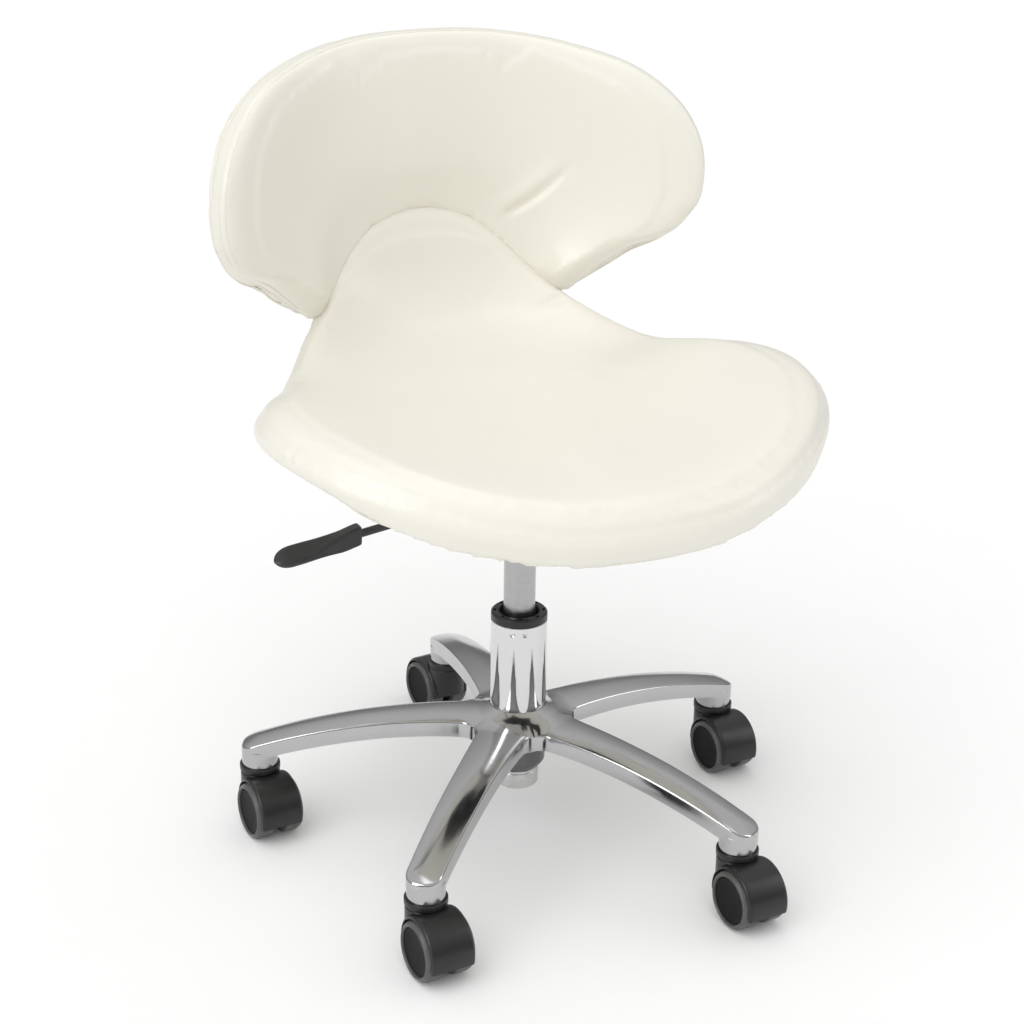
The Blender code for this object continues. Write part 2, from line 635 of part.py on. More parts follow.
def inset(curve, distance):
    """A curve moved inwards, to the right of its direction, by a distance."""
    slope = np.gradient(curve, axis=0)
    slope /= np.linalg.norm(slope, axis=1)[:, None]
    inward = np.stack([slope[:, 1], -slope[:, 0]], -1)
    return curve + inward * distance


def half_width(curve, s):
    order = np.argsort(curve[:, 0])
    return float(np.interp(s, curve[order, 0], curve[order, 1]))


def pad_scale(s):
    """How thick the seat pad is at s: 1 on the seat, less on the neck and the tongue."""
    return 1.0 + (TONGUE_PAD / SEAT_PAD - 1.0) * smoothstep(0.24, 0.50, s)


def seam_depth(s):
    """How far the seat pad's rim comes down past the board: most in front, least at the wings."""
    side = SEAM_DEPTH * smoothstep(0.30, 0.42, s)
    return FRONT_SEAM_DEPTH * (1 - smoothstep(0.03, 0.14, s)) + side


def seat_cushion_rings(half):
    """Closed rings of the seat pad, from the middle of its top round the rim to its underside."""
    count = len(half)
    outline = [tuple(p) for p in half] + [(s, -x) for s, x in half[-2:0:-1]]
    first, last = 0.16, 0.50
    total = half[-1][0]
    # (inset from the outline, depth as a share of the pad, extra drop past the board)
    profile = [(None, 1.0, 0), (0.060, 0.985, 0), (0.030, 0.93, 0), (0.014, 0.79, 0), (0.0045, 0.55, 0),
               (0.0, 0.22, 0), (0.0015, 0.0, 0.5), (0.006, 0.0, 1.0), (RIM_WIDTH, 0.0, 1.0),
               (RIM_WIDTH + 0.0003, 0.0, 0.0), (0.060, 0.0, 0.0), (0.120, 0.0, 0.0), (None, 0.0, 0.0)]
    rings = []
    for distance, share, drop in profile:
        loop = []
        for s, x in outline:
            anchor = first + (last - first) * s / total
            reach = hypot(s - anchor, x)
            scale = pad_scale(s)
            inward = reach if distance is None else distance * (scale if share > 0 else 1.0)
            t = max(0.0, 1 - inward / reach)
            wraps = 1 - smoothstep(0.405, 0.440, s)
            depth = BED + (SEAT_PAD * scale - BED) * share
            if drop:
                depth = BED - drop * (seam_depth(s) + BED) * wraps
            loop.append(surface_point(anchor + (s - anchor) * t, x * t, depth))
        rings.append(loop)
    return rings


def loft_rings(bm, rings, closed=False):
    loops = [[bm.verts.new(p) for p in loop] for loop in rings]
    if closed:
        loops.append(loops[0])
    for a, b in zip(loops, loops[1:]):
        for i in range(len(a)):
            j = (i + 1) % len(a)
            bm.faces.new((a[i], a[j], b[j], b[i]))
    return loops


def weld(bm, distance):
    bmesh.ops.remove_doubles(bm, verts=bm.verts, dist=distance)
    bmesh.ops.dissolve_degenerate(bm, edges=bm.edges, dist=distance)


def make_seat_cushion():
    half = resampled(SEAT_OUTLINE, 24)

    def build(bm):
        loft_rings(bm, seat_cushion_rings(half))
        weld(bm, 0.00002)
    add_object("seat_cushion", mesh_from("seat_cushion", build), CREAM)


def back_cushion_sections(stations):
    """Closed sections of the back pad, from one neck round over the arch to the other."""
    arch = resampled(SEAT_OUTLINE, 160)
    arch = inset(arch, -0.0012)
    outer = resampled(BACK_OUTLINE, 160)
    arch = arch[arch[:, 0] > BACK_OUTLINE[0][0] + 0.004]
    arch_length, outer_length = along(arch), along(outer)
    sections = []
    # (way from the arch to the rim: a share, or metres short of the rim; depth as a share of the pad;
    #  drop past the board)
    profile = [(0.0, 0.10, 0), (0.03, 0.42, 0), (0.12, 0.76, 0), (0.30, 0.97, 0), (0.55, 1.0, 0),
               (0.80, 0.94, 0), (0.93, 0.77, 0), (0.985, 0.55, 0), (1.0, 0.33, 0), (-0.0025, 0.06, 0),
               (-0.0065, 0.0, 1.0), (-RIM_WIDTH, 0.0, 1.0), (-RIM_WIDTH - 0.0003, 0.0, 0.0)]
    underside = (0.75, 0.5, 0.25, 0.04)
    for k in range(2 * stations - 1):
        share = k / (stations - 1)
        mirrored = share > 1
        f = 2 - share if mirrored else share
        start = [np.interp(f * arch_length[-1], arch_length, arch[:, i]) for i in (0, 1)]
        stop = [np.interp(f * outer_length[-1], outer_length, outer[:, i]) for i in (0, 1)]
        width = hypot(stop[0] - start[0], stop[1] - start[1])
        swell = min(1.0, width / 0.070) ** 0.6
        wraps = smoothstep(0.030, 0.060, width)
        loop = []
        board = 1 - (RIM_WIDTH + 0.0003) / max(width, 2 * RIM_WIDTH)
        for place, depth_share, drop in profile + [(board * share, 0.0, 0) for share in underside]:
            if place < 0:
                place = 1 + place / max(width, 2 * RIM_WIDTH)
            s = start[0] + (stop[0] - start[0]) * place
            x = start[1] + (stop[1] - start[1]) * place
            depth = BED + (BACK_PAD * swell - BED) * depth_share
            if drop:
                depth = BED - drop * (BACK_SEAM_DEPTH + BED) * wraps
            point = surface_point(s, x, depth)
            loop.append((-point[0], point[1], point[2]) if mirrored else point)
        sections.append(loop)
    return sections


def make_back_cushion():
    def build(bm):
        loops = loft_rings(bm, back_cushion_sections(14))
        bm.faces.new(loops[0])
        bm.faces.new(list(reversed(loops[-1])))
        bmesh.ops.triangulate(bm, faces=bm.faces, quad_method="SHORT_EDGE")
        weld(bm, 0.00002)
    add_object("back_cushion", mesh_from("back_cushion", build), CREAM)


def slab(bm, places, width_at, depth_at, columns):
    """A sheet that follows the seat surface: depth_at(s, edge) gives its front and its rear face."""
    front, rear = [], []
    for s in places:
        half = width_at(s)
        for grid, face in ((front, 0), (rear, 1)):
            row = []
            for j in range(columns + 1):
                across = -1 + 2 * j / columns
                depth = depth_at(s, 1 - abs(across))[face]
                row.append(bm.verts.new(surface_point(s, half * across, depth)))
            grid.append(row)
    for i in range(len(places) - 1):
        for j in range(columns):
            bm.faces.new((front[i][j], front[i][j + 1], front[i + 1][j + 1], front[i + 1][j]))
            bm.faces.new((rear[i][j], rear[i + 1][j], rear[i + 1][j + 1], rear[i][j + 1]))
        bm.faces.new((front[i][0], front[i + 1][0], rear[i + 1][0], rear[i][0]))
        bm.faces.new((front[i][-1], rear[i][-1], rear[i + 1][-1], front[i + 1][-1]))
    for j in range(columns):
        bm.faces.new((front[0][j], rear[0][j], rear[0][j + 1], front[0][j + 1]))
        bm.faces.new((front[-1][j], front[-1][j + 1], rear[-1][j + 1], rear[-1][j]))
    bmesh.ops.triangulate(bm, faces=bm.faces, quad_method="SHORT_EDGE")


def bolt_holes(name, radius, low, high):
    places = [(sx * BOLT_X, sy * BOLT_Y) for sx in (-1, 1) for sy in (-1, 1)]
    return cutter_mesh(name, [(ring(radius / cos(pi / 8), 8, place), low, high, None) for place in places])


def board_half_width(s):
    """Half-width of the board and of the covers behind it."""
    wing = WING_INSET * smoothstep(0.09, 0.15, s) * (1 - smoothstep(0.36, 0.43, s))
    narrow = half_width(SEAT_LINE, s) * (1 - 0.12 * smoothstep(0.39, 0.44, s)) - wing
    return narrow if s < NECK_END else max(narrow, half_width(BACK_LINE, s))


def make_seat_shell():
    def build(bm):
        slab(bm, BOARD_ROWS, board_half_width, lambda s, edge: (-FACE_GAP, -FACE_GAP - BOARD), BOARD_COLUMNS)
    mesh = combined(mesh_from("seat_shell_blank", build), "seat_shell",
                    [("DIFFERENCE", bolt_holes("shell_hole_cutter", BOLT_RADIUS + GAP, 0.34, 0.42))])
    add_object("seat_shell", mesh, PLY)


def cover_mesh(name, rows, pad, soft_ends, soft_edge):
    """A thin padded cover on the board's rear face, over some of the board's rows."""
    top = -FACE_GAP - BOARD - COVER_GAP

    def depth_at(s, edge):
        share = min((s - rows[0]) / soft_ends, (rows[-1] - s) / soft_ends, edge / soft_edge, 1.0)
        share = max(0.0, share)
        return top, top - COVER_RIM - (pad - COVER_RIM) * share * (2 - share)

    def build(bm):
        slab(bm, rows, board_half_width, depth_at, BOARD_COLUMNS)
    return mesh_from(name, build)


def make_covers():
    rows = [s for s in BOARD_ROWS if 0.020 < s < NECK_S - 0.020]
    mesh = combined(cover_mesh("under_cover_blank", rows, UNDER_PAD, 0.04, 0.20), "under_cover",
                    [("DIFFERENCE", bolt_holes("cover_hole_cutter", BOLT_RADIUS + GAP, 0.34, 0.42))])
    add_object("under_cover", mesh, CREAM)
    rows = [s for s in BOARD_ROWS if s > NECK_S + 0.020]
    add_object("back_cover", cover_mesh("back_cover", rows, BACK_COVER_PAD, 0.06, 0.30), CREAM)


# ---------------------------------------------------------------- mechanism

def rounded_rectangle(width, depth, radius, per_corner=4):
    corners = []
    for k, (sx, sy) in enumerate(((1, 1), (-1, 1), (-1, -1), (1, -1))):
        for i in range(per_corner + 1):
            turn = k * pi / 2 + pi / 2 * i / per_corner
            corners.append((sx * (width / 2 - radius) + radius * cos(turn),
                            sy * (depth / 2 - radius) + radius * sin(turn)))
    return corners


def rectangle(x0, x1, y0, y1):
    return [(x0, y0), (x1, y0), (x1, y1), (x0, y1)]


def lever_point(x):
    """Centre of the lever where it passes x; it slopes down towards the grip."""
    return (x, 0.0, LEVER_HEIGHT + x * tan(LEVER_SLOPE))


def make_mounting_plate():
    plate_bottom = PLATE_TOP - PLATE_THICKNESS

    def plate(bm):
        prism(bm, rounded_rectangle(*PLATE_SIZE, 0.015), plate_bottom, PLATE_TOP)
    box = cutter_mesh("lever_box_cutter", [
        (rectangle(*BOX_X, -BOX_HALF, BOX_HALF), BOX_BOTTOM, plate_bottom + 0.001, None)])
    hollow = cutter_mesh("lever_box_hollow_cutter", [
        (rectangle(BOX_X[0] + BOX_WALL, BOX_X[1] - BOX_WALL, -BOX_HALF + BOX_WALL, BOX_HALF - BOX_WALL),
         BOX_BOTTOM + BOX_WALL, plate_bottom, None)])
    socket = cutter_mesh("socket_cutter", [(ring(SOCKET_RADIUS, 28), SOCKET_BOTTOM, SOCKET_TOP, None)])
    wall_x = BOX_X[0] + BOX_WALL / 2
    along_x = Matrix.Translation(lever_point(wall_x)) @ Matrix.Rotation(pi / 2, 4, "Y")
    bores = cutter_mesh("plate_bore_cutter", [
        (ring(CYLINDER_RADIUS + GAP, 28), SOCKET_BOTTOM - 0.01, SOCKET_TOP + 0.005, None),
        (ring(0.0075, 16), -0.004, 0.004, along_x)])
    holes = bolt_holes("plate_hole_cutter", BOLT_RADIUS + GAP, 0.34, 0.40)
    mesh = combined(mesh_from("mounting_plate_blank", plate), "mounting_plate", [
        ("UNION", box), ("DIFFERENCE", hollow), ("UNION", socket), ("DIFFERENCE", bores),
        ("DIFFERENCE", holes)])
    add_object("mounting_plate", mesh, PAINT)


def make_bolts():
    head_top = PLATE_TOP - PLATE_THICKNESS - GAP

    mesh = bpy.data.meshes.new("bolt_blank")
    bm = bmesh.new()
    prism(bm, ring(BOLT_HEAD, 6), head_top - 0.004, head_top)
    bm.to_mesh(mesh)
    bm.free()
    shank = cutter_mesh("bolt_shank_cutter", [
        (ring(BOLT_RADIUS, 8), head_top - 0.001, PLATE_TOP + 0.0145, None)])
    mesh = combined(mesh, "seat_bolt", [("UNION", shank)])
    mesh.materials.append(material("seat_bolt", STEEL))
    number = 1
    for sx in (-1, 1):
        for sy in (-1, 1):
            place = Matrix.Translation((sx * BOLT_X, sy * BOLT_Y, 0.0))
            add_object("seat_bolt_%d" % number, mesh, None, place)
            number += 1


def grip_section(share):
    """Half-width, half-height and corner power of the grip: a boxy sleeve that flattens to a paddle."""
    flat = smoothstep(0.12, 0.72, share)
    width = 0.0062 + (0.0130 - 0.0062) * flat
    height = 0.0086 + (0.0076 - 0.0086) * flat
    end = sqrt(max(0.0, 1 - (max(0.0, share - 0.84) / 0.16) ** 2))
    start = 1 - 0.12 * (1 - smoothstep(0.0, 0.03, share))
    return width * max(end, 0.25) * start, height * max(end, 0.45) * start, 5.0 - 2.6 * flat


def make_lever():
    middle = lever_point((LEVER_INNER + LEVER_OUTER) / 2)
    length = (LEVER_INNER - LEVER_OUTER) / cos(LEVER_SLOPE)
    lean = Matrix.Rotation(-LEVER_SLOPE, 4, "Y")
    along_x = Matrix.Rotation(pi / 2, 4, "Y")
    rod = [(0.0, length / 2), (0.0028, length / 2), (LEVER_RADIUS, length / 2 - 0.0008),
           (LEVER_RADIUS, -length / 2 + 0.0008), (0.0028, -length / 2), (0.0, -length / 2)]
    mesh = turned_mesh("lever_rod", rod, 12, closed=False)
    mesh.transform(Matrix.Translation(middle) @ lean @ along_x)
    fulcrum = lever_point(FULCRUM_X)
    mesh.transform(Matrix.Translation([-c for c in fulcrum]))
    add_object("lever_rod", mesh, PAINT, Matrix.Translation(fulcrum))

    def grip(bm):
        sections = []
        for share in (0.0, 0.03, 0.12, 0.24, 0.36, 0.48, 0.60, 0.72, 0.84, 0.92, 0.97, 1.0):
            x = GRIP_START + (GRIP_END - GRIP_START) * share
            width, height, power = grip_section(share)
            centre = Vector(lever_point(x)) + Vector((0, 0, -0.002 * smoothstep(0.0, 0.25, share)))
            loop = []
            for i in range(16):
                turn = 2 * pi * (i + 0.5) / 16
                c, s = cos(turn), sin(turn)
                y = width * abs(c) ** (2 / power) * (1 if c > 0 else -1)
                z = height * abs(s) ** (2 / power) * (1 if s > 0 else -1)
                loop.append(tuple(centre - Vector(fulcrum) + Vector((0, y, z))))
            sections.append(loop)
        loops = loft_rings(bm, sections)
        bm.faces.new(loops[0])
        bm.faces.new(list(reversed(loops[-1])))
    bore = cutter_mesh("grip_bore_cutter", [
        (ring(LEVER_RADIUS + GAP, 12), -length / 2 - 0.0003, length / 2 - 0.002,
         Matrix.Translation([-c for c in fulcrum]) @ Matrix.Translation(middle) @ lean @ along_x)])
    mesh = combined(mesh_from("lever_grip_blank", grip), "lever_grip", [("DIFFERENCE", bore)])
    add_object("lever_grip", mesh, BLACK, Matrix.Translation(fulcrum))

    bush = [(0.0095, 0.0045), (0.0095, 0.0022), (0.0072, 0.0022), (0.0072, -0.0042), (0.0046, -0.0042),
            (0.0046, 0.0045)]
    wall = Matrix.Translation(lever_point(BOX_X[0] + BOX_WALL / 2))
    mesh = turned_mesh("lever_bush", bush, 16)
    add_object("lever_bush", mesh, NYLON, wall @ Matrix.Rotation(-pi / 2, 4, "Y"))

    pin_top = LEVER_HEIGHT - LEVER_RADIUS / cos(LEVER_SLOPE) - 2 * GAP
    pin_foot = CHAMBER_TOP - 0.001
    pin = [(0.0, pin_top), (0.0034, pin_top), (0.0040, pin_top - 0.0006), (0.0040, pin_foot), (0.0, pin_foot)]
    add_object("valve_pin", turned_mesh("valve_pin", pin, 12, closed=False), STEEL)


def main():
    make_star_base()
    make_column()
    make_casters()
    make_seat_cushion()
    make_back_cushion()
    make_seat_shell()
    make_covers()
    make_mounting_plate()
    make_bolts()
    make_lever()
    for item in PARTS.objects:
        if item.parent is None:
            item.location += FOOTPRINT


clear_scene()
PARTS = collection(OBJECT_NAME)
CUTTERS = collection("cutters")
SPINE_LINE = Spine()
SEAT_LINE = inset(resampled(SEAT_OUTLINE, 200), BOARD_INSET)[:150]
BACK_LINE = inset(resampled(BACK_OUTLINE, 200), BACK_INSET)
main()
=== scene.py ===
"""Looks of the rolling stylist stool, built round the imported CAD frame.

Pieces are made round the column's axis, in metres, and placed by AXIS, which is read from the frame.
"""
import bmesh
import bpy
import numpy as np
from math import cos, hypot, pi, radians, sin, sqrt, tan
from mathutils import Matrix, Vector
from mathutils.bvhtree import BVHTree
from mathutils.kdtree import KDTree


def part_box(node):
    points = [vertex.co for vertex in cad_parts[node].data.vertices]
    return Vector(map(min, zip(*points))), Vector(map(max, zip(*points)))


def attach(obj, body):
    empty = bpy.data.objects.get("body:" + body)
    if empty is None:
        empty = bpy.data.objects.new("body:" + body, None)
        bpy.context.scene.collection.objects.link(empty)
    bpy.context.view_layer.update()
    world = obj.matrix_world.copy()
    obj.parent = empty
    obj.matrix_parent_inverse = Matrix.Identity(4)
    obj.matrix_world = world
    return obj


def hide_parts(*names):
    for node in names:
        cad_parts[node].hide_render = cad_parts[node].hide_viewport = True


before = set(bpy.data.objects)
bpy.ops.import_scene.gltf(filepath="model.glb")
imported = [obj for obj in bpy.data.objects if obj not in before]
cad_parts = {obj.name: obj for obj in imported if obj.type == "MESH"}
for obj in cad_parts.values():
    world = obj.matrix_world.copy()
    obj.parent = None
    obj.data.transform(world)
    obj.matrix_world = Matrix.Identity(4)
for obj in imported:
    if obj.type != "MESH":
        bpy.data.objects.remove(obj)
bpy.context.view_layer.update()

SCENE = bpy.context.scene
TUBE_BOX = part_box("column_tube")
AXIS = Matrix.Translation(((TUBE_BOX[0].x + TUBE_BOX[1].x) / 2, (TUBE_BOX[0].y + TUBE_BOX[1].y) / 2, 0.0))
GAP = 0.0003

# Base
ARM_COUNT = 5
ARM_ANGLE = radians(-61.25)
ARM_STEP = 2 * pi / ARM_COUNT
STEM_CIRCLE = 0.233
HUB_BORE = 0.0253
HUB_TOP = 0.1270
HUB_BOTTOM = 0.0890
SLEEVE_RADIUS = 0.029
FLARE_END = 0.0493
ARM_CREST = 0.1185
ARM_DROP = 0.0359
ARM_CROWN = 0.003
ARM_EDGE = 0.0015
ARM_DEPTH = 0.0175
ARM_CHANNEL = 0.0085
ARM_WALL = 0.003
ARM_ROOT_HALF = 0.0215
ARM_MID_HALF = 0.0180
ARM_TIP_HALF = 0.0158
ARM_TIP_LENGTH = 0.0165
WEB_FILLET = 0.017
BOSS_RADIUS = 0.0162
BOSS_BOTTOM = 0.0615
POLAR_RADII = (HUB_BORE, 0.0259, 0.0268, 0.0279, SLEEVE_RADIUS, 0.0302, 0.0318, 0.0340, 0.0365)
FILLET_STEPS = 10
TIP_TURN = 80

# Column
TUBE_RADIUS = 0.025
TUBE_BORE = 0.0225
TUBE_TOP = 0.2090
TUBE_CHAMFER_TOP = 0.0720
TUBE_BOTTOM = 0.0655
CAP_RADIUS = 0.0195
CAP_BOTTOM = 0.0475
BUSH_TOP = 0.2170
BUSH_BOTTOM = 0.1550
CYLINDER_RADIUS = 0.014
CYLINDER_BOTTOM = 0.1500
CYLINDER_TOP = 0.3240
SOCKET_BOTTOM = 0.2980
CRIMP_HEIGHT = 0.2022
CRIMP_ANGLES = (-129.0, -103.0)
CRIMP_DEPTH = 0.0010

# Caster
CASTER_TRAIL = 0.0207
CASTER_HEADINGS = (-85.2, -85.2, 97.0, -85.2, -85.2)
WHEEL_RADIUS = 0.0256
WHEEL_INNER = 0.0055
WHEEL_OUTER = 0.0226
CORE_RADIUS = 0.0205
TREAD_ROUND = 0.0065
NECK_RADIUS = 0.0182
NECK_TOP = BOSS_BOTTOM - GAP
HOOD_RADIUS = 0.0296
HOOD_POCKET = 0.0270
HOOD_HALF = 0.0197
HOOD_CUT = 0.0185
WEB_HALF = 0.0042
AXLE_RADIUS = 0.003
STEM_RADIUS = 0.0055
HOOD_ROUND = 0.0034              # how far the hood's shoulders are rounded
ALONG_AXLE = Matrix.Rotation(-pi / 2, 4, "X")

# Seat and back
SPINE = [(-0.2500, 0.3720), (-0.2000, 0.3765), (-0.1000, 0.3775), (0.0000, 0.3775), (0.0800, 0.3790),
         (0.1400, 0.3885), (0.1880, 0.4130), (0.2195, 0.4520), (0.2350, 0.5000), (0.2410, 0.5500),
         (0.2390, 0.6100), (0.2310, 0.6750), (0.2260, 0.7000)]
SEAT_DISH = 0.72
BACK_WRAP = 2.67
WRAP_FLAT = 0.08
WRAP_FROM = 0.33
WRAP_TO = 0.51
SEAT_OUTLINE = [(0.000, 0.000), (0.006, 0.060), (0.026, 0.118), (0.060, 0.174), (0.110, 0.219),
                (0.165, 0.243), (0.215, 0.248), (0.255, 0.239), (0.303, 0.213), (0.356, 0.182),
                (0.405, 0.156), (0.450, 0.134), (0.484, 0.116), (0.515, 0.098), (0.542, 0.076),
                (0.563, 0.048), (0.5745, 0.000)]
BACK_OUTLINE = [(0.462, 0.132), (0.478, 0.160), (0.498, 0.190), (0.526, 0.2155), (0.560, 0.2305),
                (0.604, 0.2353), (0.650, 0.2325), (0.690, 0.2165), (0.717, 0.186), (0.731, 0.135),
                (0.737, 0.075), (0.7395, 0.000)]
BOARD = 0.009
BOARD_INSET = 0.014
BACK_INSET = 0.018
WING_INSET = 0.018
BOARD_FROM, BOARD_TO = 0.015, 0.7175
FACE_GAP = 0.0008
BED = 0.0030
COVER_GAP = 0.0006
COVER_RIM = 0.0012
RIM_WIDTH = 0.0105
SEAM_DEPTH = 0.0045
BACK_SEAM_DEPTH = 0.0045
FRONT_SEAM_DEPTH = 0.0165
WING_DROP = 0.0043               # how far the seat pad's rim wraps the board's edge beside the thighs
ARCH_LAP = 0.0085                # how far the back pad is tucked under the tongue's rim
SEAT_PAD = 0.035
TONGUE_PAD = 0.020
BACK_PAD = 0.030
UNDER_PAD = 0.004
BACK_COVER_PAD = 0.010
NECK_END = 0.480
UNDER_FROM, UNDER_TO = 0.030, 0.420
REAR_FROM, REAR_TO = 0.478, 0.7175

# Lever
LEVER_SLOPE = radians(8.0)
LEVER_HEIGHT = 0.3337
LEVER_RADIUS = 0.0035
LEVER_INNER = 0.006
LEVER_OUTER = -0.190
BOX_WALL_X = -0.04725
GRIP_START = -0.149
GRIP_END = -0.2245

# Upholstery
VOXEL = 0.0037
SHRINK = 0.0028                  # how much smaller a pad is before the cloth swells it
SWELL_CAP = 0.0060               # the furthest that a point may move in the cloth run
RISE_CAP = 0.0012                # the furthest that the result may stand off the fitted shape,
SINK_CAP = 0.0006                # lie below it,
SLIDE_CAP = 0.0006               # or lie beside it
SEAM_BEAD = 0.00035
WELT_BEAD = 0.0012
WRINKLE = [(0.556, 0.088), (0.608, 0.140)]
WRINKLE_SIDE = -1                # the side of the wrinkle's valley on which its ridge lies
WRINKLE_REACH = 0.035            # the furthest from its line that it acts

# Light and camera
WORLD_STRENGTH = 0.80
SUN_STRENGTH = 1.15
SUN_ANGLE = radians(70)
SUN_PLACE = (-1.3, -1.05, 2.5)
LIGHT_AIM = (0.0, 0.0, 0.32)
LIGHTS = [("left_box", (-2.0, -0.7, 1.3), (0.7, 1.8), 22.0), ("right_box", (1.9, -1.2, 1.3), (0.5, 1.8), 9.0),
          ("top_box", (0.1, 0.3, 2.4), (1.6, 1.6), 10.0)]
FLOOR_RADIUS = 9.0
CAMERA_LENS = 75.67
CAMERA_SHIFT = -0.0087
CAMERA_DISTANCE = 1.8618
CAMERA_TARGET = (0.0, 0.0, 0.3093)
CAMERA_AZIMUTH, CAMERA_ELEVATION, CAMERA_ROLL = radians(-25.28), radians(21.85), radians(0.96)


# ---------------------------------------------------------------- helpers

def catmull(points, per=16):
    knots = [np.array(p, float) for p in points]
    knots = [2 * knots[0] - knots[1]] + knots + [2 * knots[-1] - knots[-2]]
    curve = []
    for p0, p1, p2, p3 in zip(knots, knots[1:], knots[2:], knots[3:]):
        t1 = np.linalg.norm(p1 - p0) ** 0.5
        t2 = t1 + np.linalg.norm(p2 - p1) ** 0.5
        t3 = t2 + np.linalg.norm(p3 - p2) ** 0.5
        for j in range(per):
            t = t1 + (t2 - t1) * j / per
            a1 = p0 + (p1 - p0) * t / t1
            a2 = p1 + (p2 - p1) * (t - t1) / (t2 - t1)
            a3 = p2 + (p3 - p2) * (t - t2) / (t3 - t2)
            b1 = a1 + (a2 - a1) * t / t2
            b2 = a2 + (a3 - a2) * (t - t1) / (t3 - t1)
            curve.append(b1 + (b2 - b1) * (t - t1) / (t2 - t1))
    curve.append(knots[-2])
    return np.array(curve)


def smoothstep(low, high, value):
    t = min(1.0, max(0.0, (value - low) / (high - low)))
    return t * t * (3 - 2 * t)


def along(curve):
    return np.concatenate([[0.0], np.cumsum(np.linalg.norm(np.diff(curve, axis=0), axis=1))])


def joined(bm, loops):
    """Faces between rings of vertices of equal length."""
    for a, b in zip(loops, loops[1:]):
        for i in range(len(a)):
            j = (i + 1) % len(a)
            bm.faces.new((a[i], a[j], b[j], b[i]))


def finished(bm, name, angle=35):
    """A mesh from bm, with its faces turned outwards and its sharp edges marked."""
    bmesh.ops.remove_doubles(bm, verts=bm.verts, dist=0.000001)
    bmesh.ops.recalc_face_normals(bm, faces=bm.faces)
    if bm.calc_volume(signed=True) < 0:
        bmesh.ops.reverse_faces(bm, faces=bm.faces)
    mesh = bpy.data.meshes.new(name)
    bm.to_mesh(mesh)
    bm.free()
    mesh.shade_smooth()
    mesh.set_sharp_from_angle(angle=radians(angle))
    return mesh


def loft(name, rings, closed=False, caps=False, angle=35):
    """A surface over rings of equal length; a ring of one point is a pole."""
    bm = bmesh.new()
    loops = [[bm.verts.new(p) for p in loop] for loop in rings]
    pairs = list(zip(loops, loops[1:]))
    if closed:
        pairs.append((loops[-1], loops[0]))
    for a, b in pairs:
        count = max(len(a), len(b))
        for i in range(count):
            j = (i + 1) % count
            if len(a) == 1:
                bm.faces.new((a[0], b[j], b[i]))
            elif len(b) == 1:
                bm.faces.new((a[i], a[j], b[0]))
            else:
                bm.faces.new((a[i], a[j], b[j], b[i]))
    if caps:
        bm.faces.new(loops[0])
        bm.faces.new(list(reversed(loops[-1])))
    return finished(bm, name, angle)


def soften(profile, radius, closed=True, steps=3):
    """The profile with its corners rounded."""
    points = [Vector(p) for p in profile]
    count = len(points)
    result = []
    for i, corner in enumerate(points):
        if not closed and i in (0, count - 1):
            result.append(tuple(corner))
            continue
        before, after = points[i - 1] - corner, points[(i + 1) % count] - corner
        cut = min(radius, 0.45 * before.length, 0.45 * after.length)
        start, end = corner + before.normalized() * cut, corner + after.normalized() * cut
        for k in range(steps + 1):
            t = k / steps
            point = start * (1 - t) ** 2 + corner * 2 * t * (1 - t) + end * t * t
            result.append(tuple(point))
    return result


def turned(name, profile, sides, closed=True):
    """A solid of revolution round Z; profile points are (radius, height)."""
    rings = []
    for r, z in profile:
        if r < 0.000001:
            rings.append([(0.0, 0.0, z)])
        else:
            rings.append([(x, y, z) for x, y in ring(r, sides)])
    return loft(name, rings, closed)


def ring(radius, sides, centre=(0.0, 0.0)):
    return [(centre[0] + radius * cos(2 * pi * i / sides), centre[1] + radius * sin(2 * pi * i / sides))
            for i in range(sides)]


def prism(bm, corners, low, high, transform=None):
    lower = [bm.verts.new((x, y, low)) for x, y in corners]
    upper = [bm.verts.new((x, y, high)) for x, y in corners]
    bm.faces.new(list(reversed(lower)))
    bm.faces.new(upper)
    for i in range(len(corners)):
        j = (i + 1) % len(corners)
        bm.faces.new((lower[i], lower[j], upper[j], upper[i]))
    if transform:
        bmesh.ops.transform(bm, matrix=transform, verts=lower + upper)


def prisms(name, pieces):
    bm = bmesh.new()
    for corners, low, high, transform in pieces:
        prism(bm, corners, low, high, transform)
    return finished(bm, name)


def linked(name, mesh):
    item = bpy.data.objects.new(name, mesh)
    SCENE.collection.objects.link(item)
    return item


def baked(item, name, angle=35):
    """The mesh that an object shows with its modifiers, after which the object is removed."""
    graph = bpy.context.evaluated_depsgraph_get()
    mesh = bpy.data.meshes.new_from_object(item.evaluated_get(graph))
    mesh.name = name
    bpy.data.objects.remove(item, do_unlink=True)
    mesh.shade_smooth()
    mesh.set_sharp_from_angle(angle=radians(angle))
    return mesh


def combined(mesh, name, steps):
    """A mesh after Booleans; steps are (operation, mesh)."""
    item = linked(name, mesh)
    cutters = []
    for operation, cutter in steps:
        cutters.append(linked("cutter", cutter))
        boolean = item.modifiers.new(operation.lower(), "BOOLEAN")
        boolean.operation = operation
        boolean.object = cutters[-1]
        boolean.solver = "EXACT"
    mesh = baked(item, name)
    for cutter in cutters:
        bpy.data.objects.remove(cutter, do_unlink=True)
    return mesh


def piece(name, mesh, finish, body, slot, *nodes, where=AXIS):
    item = linked(name, mesh)
    mesh.materials.clear()
    mesh.materials.append(finish)
    item.matrix_world = where
    bpy.context.view_layer.update()
    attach(item, body)
    if nodes:
        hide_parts(*nodes)
    return item


# ---------------------------------------------------------------- materials

def values(node, inputs):
    for name, value in inputs.items():
        node.inputs[name].default_value = value


